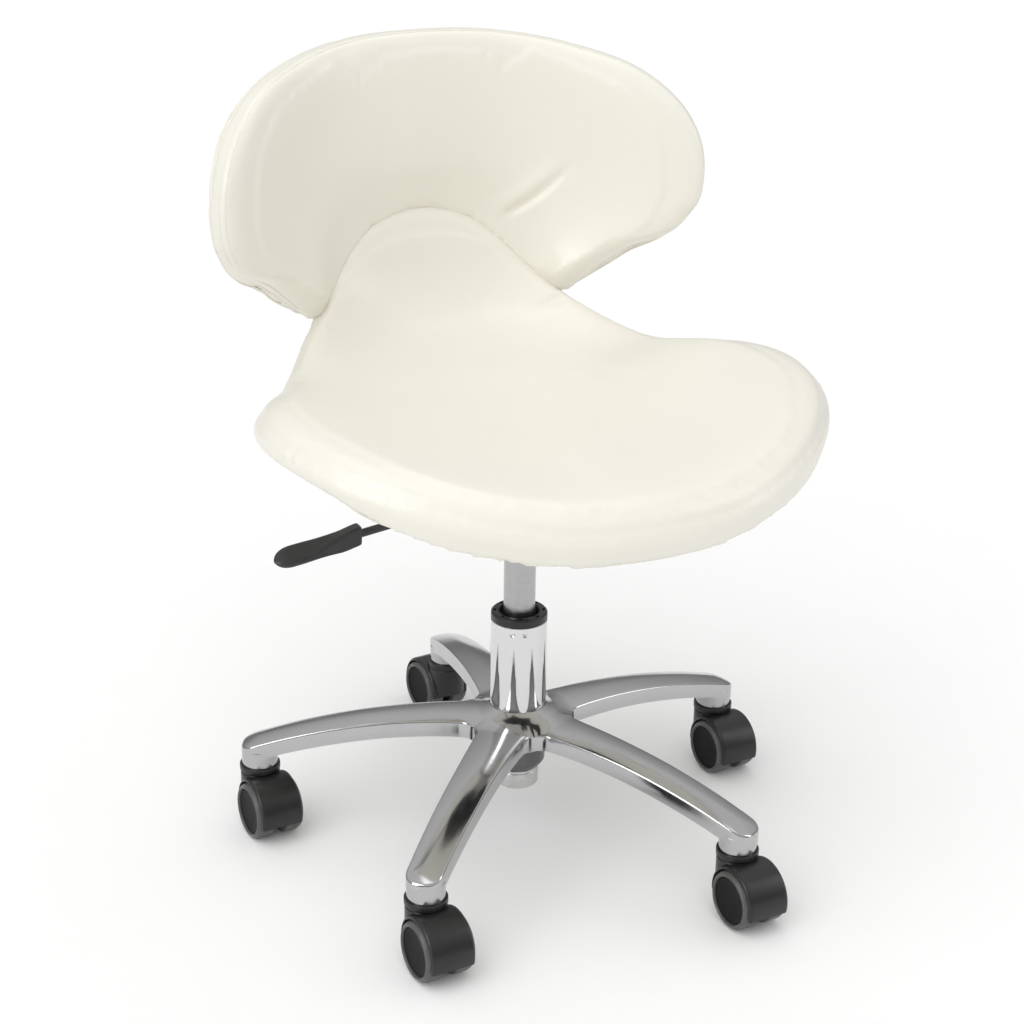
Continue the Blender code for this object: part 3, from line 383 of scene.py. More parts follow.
def colour_ramp(nodes, *stops):
    ramp = nodes.new("ShaderNodeValToRGB")
    for stop, (position, colour) in zip(ramp.color_ramp.elements, stops):
        stop.position = position
        stop.color = list(colour) + [1.0]
    return ramp


def look(name, colour, rough, metallic=0.0, tone=0.03, tone_scale=14.0, wear=0.04, wear_scale=55.0,
         relief=0.00002, relief_scale=900.0, cells=False, stretch=(1, 1, 1), coat=0.0, specular=0.5):
    """A finish with uneven tone, roughness and relief, all in the object's own metres."""
    made = bpy.data.materials.new(name)
    made.use_nodes = True
    nodes, links = made.node_tree.nodes, made.node_tree.links
    shader = nodes["Principled BSDF"]
    values(shader, {"Metallic": metallic, "Specular IOR Level": specular, "Coat Weight": coat,
                    "Coat Roughness": 0.25})
    place = nodes.new("ShaderNodeTexCoord")
    mapping = nodes.new("ShaderNodeMapping")
    mapping.inputs["Scale"].default_value = stretch
    links.new(place.outputs["Object"], mapping.inputs["Vector"])

    def noise(scale, detail):
        made_noise = nodes.new("ShaderNodeTexNoise")
        values(made_noise, {"Scale": scale, "Detail": detail})
        links.new(mapping.outputs["Vector"], made_noise.inputs["Vector"])
        return made_noise.outputs["Fac"]

    ramp = colour_ramp(nodes, (0.3, [c * (1 - tone) for c in colour]),
                       (0.7, [min(1.0, c * (1 + tone)) for c in colour]))
    links.new(noise(tone_scale, 3.0), ramp.inputs["Fac"])
    links.new(ramp.outputs["Color"], shader.inputs["Base Color"])

    spread = nodes.new("ShaderNodeMapRange")
    values(spread, {"From Min": 0.3, "From Max": 0.7, "To Min": max(0.02, rough - wear),
                    "To Max": rough + wear})
    links.new(noise(wear_scale, 4.0), spread.inputs["Value"])
    links.new(spread.outputs["Result"], shader.inputs["Roughness"])

    if cells:
        grain = nodes.new("ShaderNodeTexVoronoi")
        grain.feature = "SMOOTH_F1"
        grain.inputs["Scale"].default_value = relief_scale
        links.new(mapping.outputs["Vector"], grain.inputs["Vector"])
        height = grain.outputs["Distance"]
    else:
        height = noise(relief_scale, 3.0)
    bump = nodes.new("ShaderNodeBump")
    values(bump, {"Strength": 1.0, "Distance": relief})
    links.new(height, bump.inputs["Height"])
    links.new(bump.outputs["Normal"], shader.inputs["Normal"])
    return made


def plywood(name):
    """Veneer with thin darker glue lines through the board's thickness."""
    made = look(name, (0.50, 0.36, 0.20), 0.6, tone=0.25, tone_scale=60.0, relief=0.00008,
                relief_scale=240.0, stretch=(4.0, 0.6, 4.0))
    nodes, links = made.node_tree.nodes, made.node_tree.links
    shader, ramp = nodes["Principled BSDF"], nodes["Color Ramp"]
    layers = nodes.new("ShaderNodeTexWave")
    layers.bands_direction = "Z"
    values(layers, {"Scale": 180.0, "Distortion": 0.6})
    place = nodes["Texture Coordinate"]
    links.new(place.outputs["Object"], layers.inputs["Vector"])
    mix = nodes.new("ShaderNodeMix")
    mix.data_type = "RGBA"
    mix.blend_type = "MULTIPLY"
    mix.inputs[0].default_value = 0.35
    links.new(ramp.outputs["Color"], mix.inputs[6])
    links.new(layers.outputs["Color"], mix.inputs[7])
    links.new(mix.outputs[2], shader.inputs["Base Color"])
    return made


VINYL = look("cream_vinyl", (0.84, 0.818, 0.733), 0.38, tone=0.012, tone_scale=7.0, wear=0.05,
             wear_scale=25.0, relief=0.00006, relief_scale=620.0, cells=True, coat=0.12)
THREAD = look("seam_thread", (0.80, 0.775, 0.69), 0.55, tone=0.06, tone_scale=300.0, relief=0.0002,
              relief_scale=900.0)
CHROME = look("mirror_chrome", (0.70, 0.70, 0.71), 0.05, 1.0, tone=0.01, wear=0.02, wear_scale=30.0,
              relief=0.000006, relief_scale=35.0)
ALLOY = look("polished_alloy", (0.48, 0.48, 0.485), 0.15, 1.0, tone=0.02, tone_scale=18.0, wear=0.045,
             wear_scale=22.0, relief=0.00002, relief_scale=90.0)
SATIN = look("satin_steel", (0.44, 0.44, 0.44), 0.30, 1.0, tone=0.02, wear=0.04, relief=0.000012,
             relief_scale=260.0, stretch=(1.0, 1.0, 12.0))
GREY_STEEL = look("cap_steel", (0.60, 0.60, 0.60), 0.26, 1.0, tone=0.03, wear=0.05, relief=0.00001,
                  relief_scale=300.0)
BARE_TUBE = look("bare_tube", (0.16, 0.16, 0.16), 0.34, 1.0, tone=0.05, wear=0.06, relief=0.00002,
                 relief_scale=300.0)
NYLON = look("black_nylon", (0.012, 0.012, 0.0125), 0.36, tone=0.10, tone_scale=40.0, wear=0.05,
             relief=0.00004, relief_scale=1400.0)
DISC = look("wheel_nylon", (0.012, 0.012, 0.0122), 0.50, specular=0.08, tone=0.10, tone_scale=60.0,
            wear=0.05, relief=0.00004, relief_scale=1500.0)
TREAD = look("grey_polyurethane", (0.088, 0.088, 0.085), 0.40, specular=0.45, tone=0.08, tone_scale=50.0,
             wear=0.07, wear_scale=90.0, relief=0.00005, relief_scale=700.0)
GRIP = look("black_grip", (0.021, 0.021, 0.022), 0.40, tone=0.06, tone_scale=60.0, wear=0.04,
            relief=0.00005, relief_scale=1300.0)
PAINT = look("black_paint", (0.020, 0.020, 0.021), 0.38, 0.0, tone=0.08, tone_scale=40.0, wear=0.06,
             relief=0.00006, relief_scale=320.0, coat=0.2)
RUBBER = look("black_rubber", (0.016, 0.016, 0.016), 0.78, tone=0.12, relief=0.00008, relief_scale=800.0)
ZINC = look("zinc_steel", (0.52, 0.51, 0.47), 0.32, 1.0, tone=0.06, tone_scale=120.0, wear=0.08,
            relief=0.00002, relief_scale=500.0)
PLY = plywood("plywood")


def cover_kept_nodes():
    """Finishes for the CAD nodes whose shape is right and which stay in view."""
    kept = {"piston_rod": SATIN, "thrust_bearing": GREY_STEEL, "bumper_ring": RUBBER, "retaining_clip": ZINC,
            "mounting_plate": PAINT, "valve_pin": ZINC}
    for number in range(1, 5):
        kept["seat_bolt_%d" % number] = ZINC
    for number in range(1, ARM_COUNT + 1):
        kept["stem_%d" % number] = ZINC
        kept["axle_%d" % number] = ZINC
    for name, finish in kept.items():
        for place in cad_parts[name].material_slots:
            place.material = finish


# ---------------------------------------------------------------- star base

def arm_half_width(u):
    if u < 0.13:
        return ARM_MID_HALF + (ARM_ROOT_HALF - ARM_MID_HALF) * ((0.13 - u) / 0.08) ** 1.4
    return ARM_MID_HALF + (ARM_TIP_HALF - ARM_MID_HALF) * (u - 0.13) / 0.10


def arm_rows():
    """Rows of one arm's plan: (edge u, edge v, bulge), from the hub out to the tip."""
    sector = ARM_STEP / 2
    centre = (ARM_ROOT_HALF + WEB_FILLET) / sin(sector)
    web = centre - WEB_FILLET
    rows = [(r * cos(sector), r * sin(sector), r) for r in POLAR_RADII]
    for step in range(FILLET_STEPS):
        share = step / (FILLET_STEPS - 1)
        turn = sector + pi + (pi / 2 - sector) * share
        u = centre * cos(sector) + WEB_FILLET * cos(turn)
        v = centre * sin(sector) + WEB_FILLET * sin(turn)
        rows.append((u, v, u + web * (1 - cos(sector)) * (1 - 0.75 * share)))
    for u in np.linspace(0.060, 0.2185, 28):
        rows.append((u, arm_half_width(u), u))
    base = STEM_CIRCLE - 0.0005
    half = arm_half_width(base)
    for turn in np.linspace(0, TIP_TURN, 12):
        c = cos(radians(turn)) ** (2 / 2.6)
        s = sin(radians(turn)) ** (2 / 2.6)
        rows.append((base + ARM_TIP_LENGTH * s, half * c,
                     base + ARM_TIP_LENGTH * (s + (1 - s) * (turn / TIP_TURN))))
    return rows


def arm_edge_line(rows):
    edge = [(u, v) for u, v, _ in rows[len(POLAR_RADII):]]
    tip = [(rows[-1][2], 0.0)]
    mirrored = [(u, -v) for u, v in reversed(edge)]
    turn = Matrix.Rotation(ARM_STEP, 2)
    neighbour = [tuple(turn @ Vector((u, -v))) for u, v in edge[:FILLET_STEPS + 1]]
    other = [(u, -v) for u, v in neighbour]
    return [np.array(edge + tip + mirrored), np.array(neighbour), np.array(other)]


def distance_to(lines, u, v):
    point = np.array((u, v))
    best = 1.0
    for line in lines:
        a = line[:-1]
        d = line[1:] - a
        t = np.clip(((point - a) * d).sum(1) / (d * d).sum(1), 0, 1)
        best = min(best, np.linalg.norm(a + d * t[:, None] - point, axis=1).min())
    return best


def crest(r):
    return ARM_CREST - ARM_DROP * (max(0.0, r - 0.05) / 0.2) ** 2.0


def arm_top(r, inside):
    flare = (HUB_TOP - ARM_CREST) * max(0.0, (FLARE_END - r) / (FLARE_END - HUB_BORE)) ** 2.5
    crown = ARM_CROWN * max(0.0, 1 - inside / ARM_ROOT_HALF) ** 2
    rounding = ARM_EDGE - sqrt(max(0.0, ARM_EDGE ** 2 - max(0.0, ARM_EDGE - inside) ** 2))
    return crest(r) + flare - crown - rounding


def arm_bottom(r, inside):
    if r < SLEEVE_RADIUS + 0.0001:
        return HUB_BOTTOM
    channel = ARM_CHANNEL * smoothstep(ARM_WALL - 0.0004, ARM_WALL + 0.0016, inside)
    solid_tip = smoothstep(STEM_CIRCLE - 0.030, STEM_CIRCLE - 0.020, r)
    return crest(r) - ARM_DEPTH + channel * (1 - solid_tip)


def star_base_mesh():
    half = [0.0, 0.18, 0.36, 0.54, 0.68, 0.745, 0.80, 0.86, 0.915, 0.94, 0.965, 0.985, 1.0]
    columns = [-s for s in reversed(half[1:])] + half
    polar = len(POLAR_RADII)
    rows = arm_rows()
    lines = arm_edge_line(rows)
    sector = ARM_STEP / 2
    grid = []
    for index, (edge_u, edge_v, middle_u) in enumerate(rows):
        line = []
        for place, s in enumerate(columns):
            if index < polar:
                around = sector * (2 * place / (len(columns) - 1) - 1)
                u, v = middle_u * cos(around), middle_u * sin(around)
            else:
                u, v = edge_u + (middle_u - edge_u) * (1 - s * s), edge_v * s
            r = hypot(u, v)
            inside = distance_to(lines, u, v) if index >= polar - 1 else 1.0
            line.append((u, v, arm_top(r, inside), arm_bottom(r, inside)))
        grid.append(line)
    bm = bmesh.new()
    last = len(columns) - 1
    for arm in range(ARM_COUNT):
        turn = ARM_ANGLE + arm * ARM_STEP
        top, bottom = [], []
        for line in grid:
            places = [(u * cos(turn) - v * sin(turn), u * sin(turn) + v * cos(turn), high, low)
                      for u, v, high, low in line]
            top.append([bm.verts.new((x, y, high)) for x, y, high, _ in places])
            bottom.append([bm.verts.new((x, y, low)) for x, y, _, low in places])
        for i in range(len(rows) - 1):
            for j in range(last):
                bm.faces.new((top[i][j], top[i + 1][j], top[i + 1][j + 1], top[i][j + 1]))
                bm.faces.new((bottom[i][j], bottom[i][j + 1], bottom[i + 1][j + 1], bottom[i + 1][j]))
            if i >= polar:
                bm.faces.new((top[i][0], bottom[i][0], bottom[i + 1][0], top[i + 1][0]))
                bm.faces.new((top[i][last], top[i + 1][last], bottom[i + 1][last], bottom[i][last]))
        for j in range(last):
            bm.faces.new((top[0][j], top[0][j + 1], bottom[0][j + 1], bottom[0][j]))
            bm.faces.new((top[-1][j], bottom[-1][j], bottom[-1][j + 1], top[-1][j + 1]))
    return finished(bm, "star_base_blank", 30)


def arm_tips():
    for arm in range(ARM_COUNT):
        turn = ARM_ANGLE + arm * ARM_STEP
        yield arm + 1, (STEM_CIRCLE * cos(turn), STEM_CIRCLE * sin(turn))


def make_star_base():
    bosses = prisms("boss_cutter", [
        (ring(BOSS_RADIUS, 56, place), BOSS_BOTTOM, BOSS_BOTTOM + 0.015, None) for _, place in arm_tips()])
    bores = prisms("stem_bore_cutter", [
        (ring(STEM_RADIUS + GAP, 32, place), BOSS_BOTTOM - 0.01, BOSS_BOTTOM + 0.014, None)
        for _, place in arm_tips()])
    mesh = combined(star_base_mesh(), "star_casting", [("UNION", bosses), ("DIFFERENCE", bores)])
    piece("star_casting", mesh, ALLOY, "base", "star_base", "star_base")


# ---------------------------------------------------------------- column

def make_column():
    heights = list(np.arange(CRIMP_HEIGHT + 0.0045, CRIMP_HEIGHT - 0.0046, -0.0006))
    tube = (soften([(0.0244, TUBE_TOP), (TUBE_RADIUS, TUBE_TOP - 0.0006)], 0.0004, closed=False)
            + [(TUBE_RADIUS, z) for z in heights]
            + [(TUBE_RADIUS, HUB_BOTTOM + 0.0010), (TUBE_RADIUS, TUBE_CHAMFER_TOP + 0.0008),
               (TUBE_RADIUS - 0.0002, TUBE_CHAMFER_TOP)]
            + soften([(TUBE_RADIUS - 0.0008, TUBE_CHAMFER_TOP - 0.0010),
                      (CAP_RADIUS + 0.0012, TUBE_BOTTOM + 0.0006), (CAP_RADIUS + GAP, TUBE_BOTTOM)],
                     0.0006, closed=False)
            + [(0.0058, TUBE_BOTTOM), (0.0058, 0.0685), (0.0175, 0.0685), (TUBE_BORE, 0.0735),
               (TUBE_BORE, TUBE_TOP)])
    mesh = turned("column_chrome", tube, 192)
    for point in mesh.vertices:
        x, y, z = point.co
        r = hypot(x, y)
        if r < TUBE_BORE + 0.001 or abs(z - CRIMP_HEIGHT) > 0.005:
            continue
        for angle in CRIMP_ANGLES:
            a = radians(angle)
            across = -x * sin(a) + y * cos(a)
            if x * cos(a) + y * sin(a) > 0:
                press = CRIMP_DEPTH * np.exp(-(across / 0.0017) ** 2 - ((z - CRIMP_HEIGHT) / 0.0012) ** 2)
                point.co.x -= x / r * press
                point.co.y -= y / r * press
    piece("column_chrome", mesh, CHROME, "base", "column_tube", "column_tube")
    mesh.materials.append(BARE_TUBE)
    for face in mesh.polygons:
        if face.center.z < HUB_BOTTOM + 0.0005:
            face.material_index = 1

    cap = [(0.0, CAP_BOTTOM + 0.0025), (0.0165, CAP_BOTTOM + 0.0025), (0.0165, TUBE_BOTTOM - GAP),
           (CAP_RADIUS, TUBE_BOTTOM - GAP), (CAP_RADIUS, TUBE_BOTTOM - 0.0025),
           (CAP_RADIUS - 0.0005, TUBE_BOTTOM - 0.003), (CAP_RADIUS, TUBE_BOTTOM - 0.0035),
           (CAP_RADIUS, CAP_BOTTOM + 0.0014), (CAP_RADIUS - 0.0014, CAP_BOTTOM), (0.0040, CAP_BOTTOM),
           (0.0030, CAP_BOTTOM + 0.0012), (0.0, CAP_BOTTOM + 0.0012)]
    piece("foot_cap", turned("foot_cap", soften(cap, 0.0004, closed=False), 96, closed=False),
          GREY_STEEL, "base", "bottom_cap", "bottom_cap")

    bush = [(0.0235, BUSH_TOP), (TUBE_RADIUS, BUSH_TOP - 0.0015), (TUBE_RADIUS, TUBE_TOP + GAP),
            (TUBE_BORE - GAP, TUBE_TOP + GAP), (TUBE_BORE - GAP, BUSH_BOTTOM),
            (CYLINDER_RADIUS + GAP, BUSH_BOTTOM), (CYLINDER_RADIUS + GAP, TUBE_TOP),
            (0.0165, TUBE_TOP + 0.0028), (0.0178, BUSH_TOP - 0.0006), (0.0190, BUSH_TOP)]
    slots = []
    for i in range(8):
        turn = Matrix.Rotation(2 * pi * (i + 0.5) / 8, 4, "Z")
        slots.append(([(0.0203, -0.0021), (0.0226, -0.0021), (0.0226, 0.0021), (0.0203, 0.0021)],
                      BUSH_TOP - 0.0022, BUSH_TOP + 0.001, turn))
    mesh = combined(turned("bush_blank", soften(bush, 0.0004), 96), "bush_collar",
                    [("DIFFERENCE", prisms("bush_slots", slots))])
    piece("bush_collar", mesh, NYLON, "base", "guide_bush", "guide_bush")

    cylinder = [(0.0043, CYLINDER_TOP), (0.0126, CYLINDER_TOP), (0.0137, CYLINDER_TOP - 0.0015),
                (CYLINDER_RADIUS, SOCKET_BOTTOM - 0.012), (CYLINDER_RADIUS, CYLINDER_BOTTOM + 0.001),
                (0.0130, CYLINDER_BOTTOM), (0.0055, CYLINDER_BOTTOM), (0.0055, CYLINDER_BOTTOM + 0.006),
                (0.0120, CYLINDER_BOTTOM + 0.006), (0.0120, 0.3000), (0.0043, 0.3000)]
    piece("lift_cylinder", turned("lift_cylinder", soften(cylinder, 0.0004), 96), SATIN,
          "seat", "gas_cylinder", "gas_cylinder")


# ---------------------------------------------------------------- casters

def hood_mesh():
    side = Matrix(((1, 0, 0, 0), (0, 0, -1, 0), (0, 1, 0, 0), (0, 0, 0, 1)))
    hub = Matrix.Translation((CASTER_TRAIL, 0.0, WHEEL_RADIUS))
    shell = soften([(0.0, HOOD_HALF), (HOOD_RADIUS, HOOD_HALF), (HOOD_RADIUS, -HOOD_HALF), (0.0, -HOOD_HALF)],
                   HOOD_ROUND, closed=False, steps=6)
    blank = turned("hood_blank", shell, 112, closed=False)
    blank.transform(hub @ ALONG_AXLE)
    collar = [(0.0, 0.027), (NECK_RADIUS - 0.0006, 0.027), (NECK_RADIUS - 0.0006, NECK_TOP - 0.0075),
              (NECK_RADIUS - 0.0014, NECK_TOP - 0.0070), (NECK_RADIUS - 0.0014, NECK_TOP - 0.0062),
              (NECK_RADIUS, NECK_TOP - 0.0056), (NECK_RADIUS, NECK_TOP), (0.0, NECK_TOP)]
    neck = turned("neck", soften(collar, 0.0006, closed=False), 96, closed=False)
    pocket = ring(HOOD_POCKET, 96, (CASTER_TRAIL, WHEEL_RADIUS))
    pockets = prisms("pockets", [(pocket, WEB_HALF, 0.05, side), (pocket, -0.05, -WEB_HALF, side)])
    step = CASTER_TRAIL - 0.009
    floor_cut = prisms("hood_cut", [
        ([(-0.05, -0.02), (0.09, -0.02), (0.09, HOOD_CUT), (step, HOOD_CUT), (step, 0.0205), (-0.05, 0.030)],
         -0.06, 0.06, side)])
    bores = prisms("caster_bores", [
        (ring(STEM_RADIUS + GAP, 24), NECK_TOP - 0.012, 0.08, None),
        (ring(AXLE_RADIUS + GAP, 24, (CASTER_TRAIL, WHEEL_RADIUS)), -0.05, 0.05, side)])
    return combined(blank, "hood_shell", [("UNION", neck), ("DIFFERENCE", pockets),
                                          ("DIFFERENCE", floor_cut), ("DIFFERENCE", bores)])


def wheel_meshes():
    bead = CORE_RADIUS + GAP
    shoulder = WHEEL_RADIUS - bead - 0.0010
    tread = [(bead + 0.0004, WHEEL_OUTER - 0.0006)]
    for turn in np.linspace(84, 0, 10):
        c, s = cos(radians(turn)), sin(radians(turn))
        tread.append((bead + 0.0010 + shoulder * c, WHEEL_OUTER - TREAD_ROUND * (1 - s)))
    tread += [(WHEEL_RADIUS, WHEEL_INNER + 0.0010), (WHEEL_RADIUS - 0.0010, WHEEL_INNER), (bead, WHEEL_INNER),
              (bead, WHEEL_OUTER - 0.0012)]
    face = WHEEL_OUTER - 0.0016
    core = [(0.0, face - 0.0010), (0.0120, face - 0.0009), (0.0180, face - 0.0005), (0.0190, face),
            (CORE_RADIUS, face), (CORE_RADIUS, WHEEL_INNER), (AXLE_RADIUS + GAP, WHEEL_INNER),
            (AXLE_RADIUS + GAP, 0.0160), (0.0, 0.0160)]
    return (turned("tread_ring", tread, 96),
            turned("wheel_disc", soften(core, 0.0007, closed=False), 72, closed=False))


def make_casters():
    hood = hood_mesh()
    tread, disc = wheel_meshes()
    for number, (x, y) in arm_tips():
        swivel = (AXIS @ Matrix.Translation((x, y, 0.0))
                  @ Matrix.Rotation(radians(CASTER_HEADINGS[number - 1]), 4, "Z"))
        hub = swivel @ Matrix.Translation((CASTER_TRAIL, 0.0, WHEEL_RADIUS))
        piece("hood_shell_%d" % number, hood, NYLON, "caster_%d" % number, "hood", "hood_%d" % number,
              where=swivel)
        for side, turn in (("left", 0.0), ("right", pi)):
            body = "wheel_%d_%s" % (number, side)
            place = hub @ Matrix.Rotation(turn, 4, "Z") @ ALONG_AXLE
            piece("wheel_disc_%d_%s" % (number, side), disc, DISC, body, "wheel_core",
                  "wheel_core_%d_%s" % (number, side), where=place)
            piece("tread_ring_%d_%s" % (number, side), tread, TREAD, body, "tread",
                  "tread_%d_%s" % (number, side), where=place)


# ---------------------------------------------------------------- seat surface

class Spine:
    """The seat's middle line, by length from the front edge."""

    def __init__(self):
        self.curve = catmull(SPINE, 24)
        self.length = along(self.curve)
        slope = np.gradient(self.curve, self.length, axis=0)
        for _ in range(6):
            slope[1:-1] = (slope[:-2] + 2 * slope[1:-1] + slope[2:]) / 4
        self.slope = slope

    def at(self, s):
        inside = min(max(s, 0.0), self.length[-1])
        y, z = (np.interp(inside, self.length, self.curve[:, i]) for i in (0, 1))
        ty, tz = (np.interp(inside, self.length, self.slope[:, i]) for i in (0, 1))
        size = hypot(ty, tz)
        over = s - inside
        return y + over * ty / size, z + over * tz / size, ty / size, tz / size


def surface_point(s, x, depth):
    """Point at s along the spine and x across it, raised by depth off the board's front face."""
    y, z, ty, tz = SPINE_LINE.at(s)
    wrap = SEAT_DISH + (BACK_WRAP - SEAT_DISH) * smoothstep(WRAP_FROM, WRAP_TO, s)
    flat = x * x + WRAP_FLAT ** 2
    rise = wrap * x ** 4 / flat
    lean = wrap * (4 * x ** 3 * flat - 2 * x ** 5) / flat ** 2
    size = hypot(1.0, lean)
    up = rise + depth / size
    return (x - depth * lean / size, y - tz * up, z + ty * up)


def resampled(points, count):
    first, last = points[0], points[-1]
    lead = [(points[1][0], -points[1][1])] if first[1] == 0 else []
    tail = [(points[-2][0], -points[-2][1])] if last[1] == 0 else []
    curve = catmull(lead + points + tail, 16)
    curve = curve[16 * len(lead):len(curve) - 16 * len(tail)]
    length = along(curve)
    steps = np.linspace(0, length[-1], count)
    return np.stack([np.interp(steps, length, curve[:, i]) for i in (0, 1)], -1)


def inset(curve, distance):
    slope = np.gradient(curve, axis=0)
    slope /= np.linalg.norm(slope, axis=1)[:, None]
    inward = np.stack([slope[:, 1], -slope[:, 0]], -1)
    return curve + inward * distance


def half_width(curve, s):
    order = np.argsort(curve[:, 0])
    return float(np.interp(s, curve[order, 0], curve[order, 1]))


def pad_scale(s):
    return 1.0 + (TONGUE_PAD / SEAT_PAD - 1.0) * smoothstep(0.24, 0.50, s)


def seam_depth(s):
    side = SEAM_DEPTH * smoothstep(0.30, 0.42, s)
    side += WING_DROP * smoothstep(0.03, 0.11, s) * (1 - smoothstep(0.34, 0.42, s))
    return FRONT_SEAM_DEPTH * (1 - smoothstep(0.03, 0.14, s)) + side


def seat_profile():
    """(inset from the outline, depth as a share of the pad, drop past the board), from the top round."""
    knots = [(0.110, 1.0, 0), (0.060, 0.985, 0), (0.030, 0.93, 0), (0.014, 0.79, 0), (0.0045, 0.55, 0),
             (0.0, 0.26, 0), (0.0018, 0.0, 0.25), (0.0045, 0.0, 0.65), (0.0080, 0.0, 1.0)]
    top = [(None, 1.0, 0), (0.200, 1.0, 0), (0.150, 1.0, 0)]
    round_rim = [tuple(p) for p in catmull(knots, 4)]
    bottom = [(RIM_WIDTH, 0.0, 1.0)] + [(inward, 0.0, 0.0)
                                        for inward in (RIM_WIDTH + 0.0003, 0.030, 0.060, 0.120, None)]
    return top + round_rim + bottom


def seat_ring(half, distance, share, drop):
    outline = [tuple(p) for p in half] + [(s, -x) for s, x in half[-2:0:-1]]
    first, last = 0.16, 0.50
    total = half[-1][0]
    loop = []
    for s, x in outline:
        anchor = first + (last - first) * s / total
        reach = hypot(s - anchor, x)
        scale = pad_scale(s)
        inward = reach if distance is None else distance * (scale if share > 0 else 1.0)
        t = max(0.0, 1 - inward / reach)
        wraps = 1 - smoothstep(0.405, 0.440, s)
        depth = BED + (SEAT_PAD * scale - BED) * share
        if drop:
            depth = BED - drop * (seam_depth(s) + BED) * wraps
        loop.append(surface_point(anchor + (s - anchor) * t, x * t, depth))
    return loop


def back_lines():
    arch = inset(resampled(SEAT_OUTLINE, 400), ARCH_LAP)
    outer = resampled(BACK_OUTLINE, 400)
    return arch[arch[:, 0] > BACK_OUTLINE[0][0] + 0.004], outer


def back_row(lines, f, profile):
    """Points of the back pad across its width at f, from one neck (0) to the middle (1)."""
    arch, outer = lines
    arch_length, outer_length = along(arch), along(outer)
    start = [np.interp(f * arch_length[-1], arch_length, arch[:, i]) for i in (0, 1)]
    stop = [np.interp(f * outer_length[-1], outer_length, outer[:, i]) for i in (0, 1)]
    width = hypot(stop[0] - start[0], stop[1] - start[1])
    swell = min(1.0, width / 0.070) ** 0.6
    wraps = smoothstep(0.030, 0.060, width)
    row = []
    for place, depth_share, drop in profile:
        if place < 0:
            place = 1 + place / max(width, 2 * RIM_WIDTH)
        elif place > 1:
            place = (place - 1) * (1 - (RIM_WIDTH + 0.0003) / max(width, 2 * RIM_WIDTH))
        s = start[0] + (stop[0] - start[0]) * place
        x = start[1] + (stop[1] - start[1]) * place
        depth = BED + (BACK_PAD * swell - BED) * depth_share
        if drop:
            depth = BED - drop * (BACK_SEAM_DEPTH + BED) * wraps
        row.append(surface_point(s, x, depth))
    return row


def back_profile():
    face = [(0.0, 0.33, 0), (0.05, 0.40, 0), (0.15, 0.60, 0), (0.32, 0.90, 0), (0.55, 1.0, 0),
            (0.80, 0.94, 0), (0.93, 0.77, 0), (0.985, 0.55, 0), (1.0, 0.33, 0)]
    round_face = [tuple(p) for p in catmull(face, 4)]
    rim = [(-0.0025, 0.06, 0), (-0.0042, 0.0, 0.55), (-0.0065, 0.0, 1.0), (-RIM_WIDTH, 0.0, 1.0),
           (-RIM_WIDTH - 0.0003, 0.0, 0.0)]
    under = [(1 + share, 0.0, 0) for share in (0.85, 0.65, 0.45, 0.25, 0.04)]
    return round_face + rim + under


def mirrored_rows(make, stations):
    """Rows for f from 0 to 1 and back on the other side; make(f) gives one row."""
    rows = []
    for k in range(2 * stations - 1):
        share = k / (stations - 1)
        row = make(2 - share if share > 1 else share)
        rows.append([(-x, y, z) for x, y, z in row] if share > 1 else row)
    return rows


# ---------------------------------------------------------------- cloth

def gathered(items, attribute):
    flat = np.empty(len(items) * 3)
    items.foreach_get(attribute, flat)
    return flat.reshape(-1, 3)


def coordinates(mesh):
    return gathered(mesh.vertices, "co")


def normals(mesh):
    return gathered(mesh.vertex_normals, "vector")


def put(mesh, points):
    mesh.vertices.foreach_set("co", points.ravel())
    mesh.update()


def board_side(points, facing):
    """0 where a pad rests on the board or faces it, 1 on its free faces, for each point."""
    samples = np.array([SPINE_LINE.at(s) for s in np.linspace(0.0, 0.74, 260)])
    result = np.empty(len(points))
    for i, (point, normal) in enumerate(zip(points, facing)):
        near = np.argmin((samples[:, 0] - point[1]) ** 2 + (samples[:, 1] - point[2]) ** 2)
        _, _, ty, tz = samples[near]
        up = np.array((0.0, -tz, ty))
        result[i] = smoothstep(-0.45, 0.05, float(up @ normal))
    return result


def smoothed(item, name, rounds):
    smooth = item.modifiers.new("smooth", "SMOOTH")
    smooth.factor = 0.5
    smooth.iterations = rounds
    return baked(item, name, 180)


def remeshed(mesh, name):
    item = linked(name, mesh)
    voxels = item.modifiers.new("voxels", "REMESH")
    voxels.mode = "VOXEL"
    voxels.voxel_size = VOXEL
    voxels.use_smooth_shade = True
    return smoothed(item, name, 2)


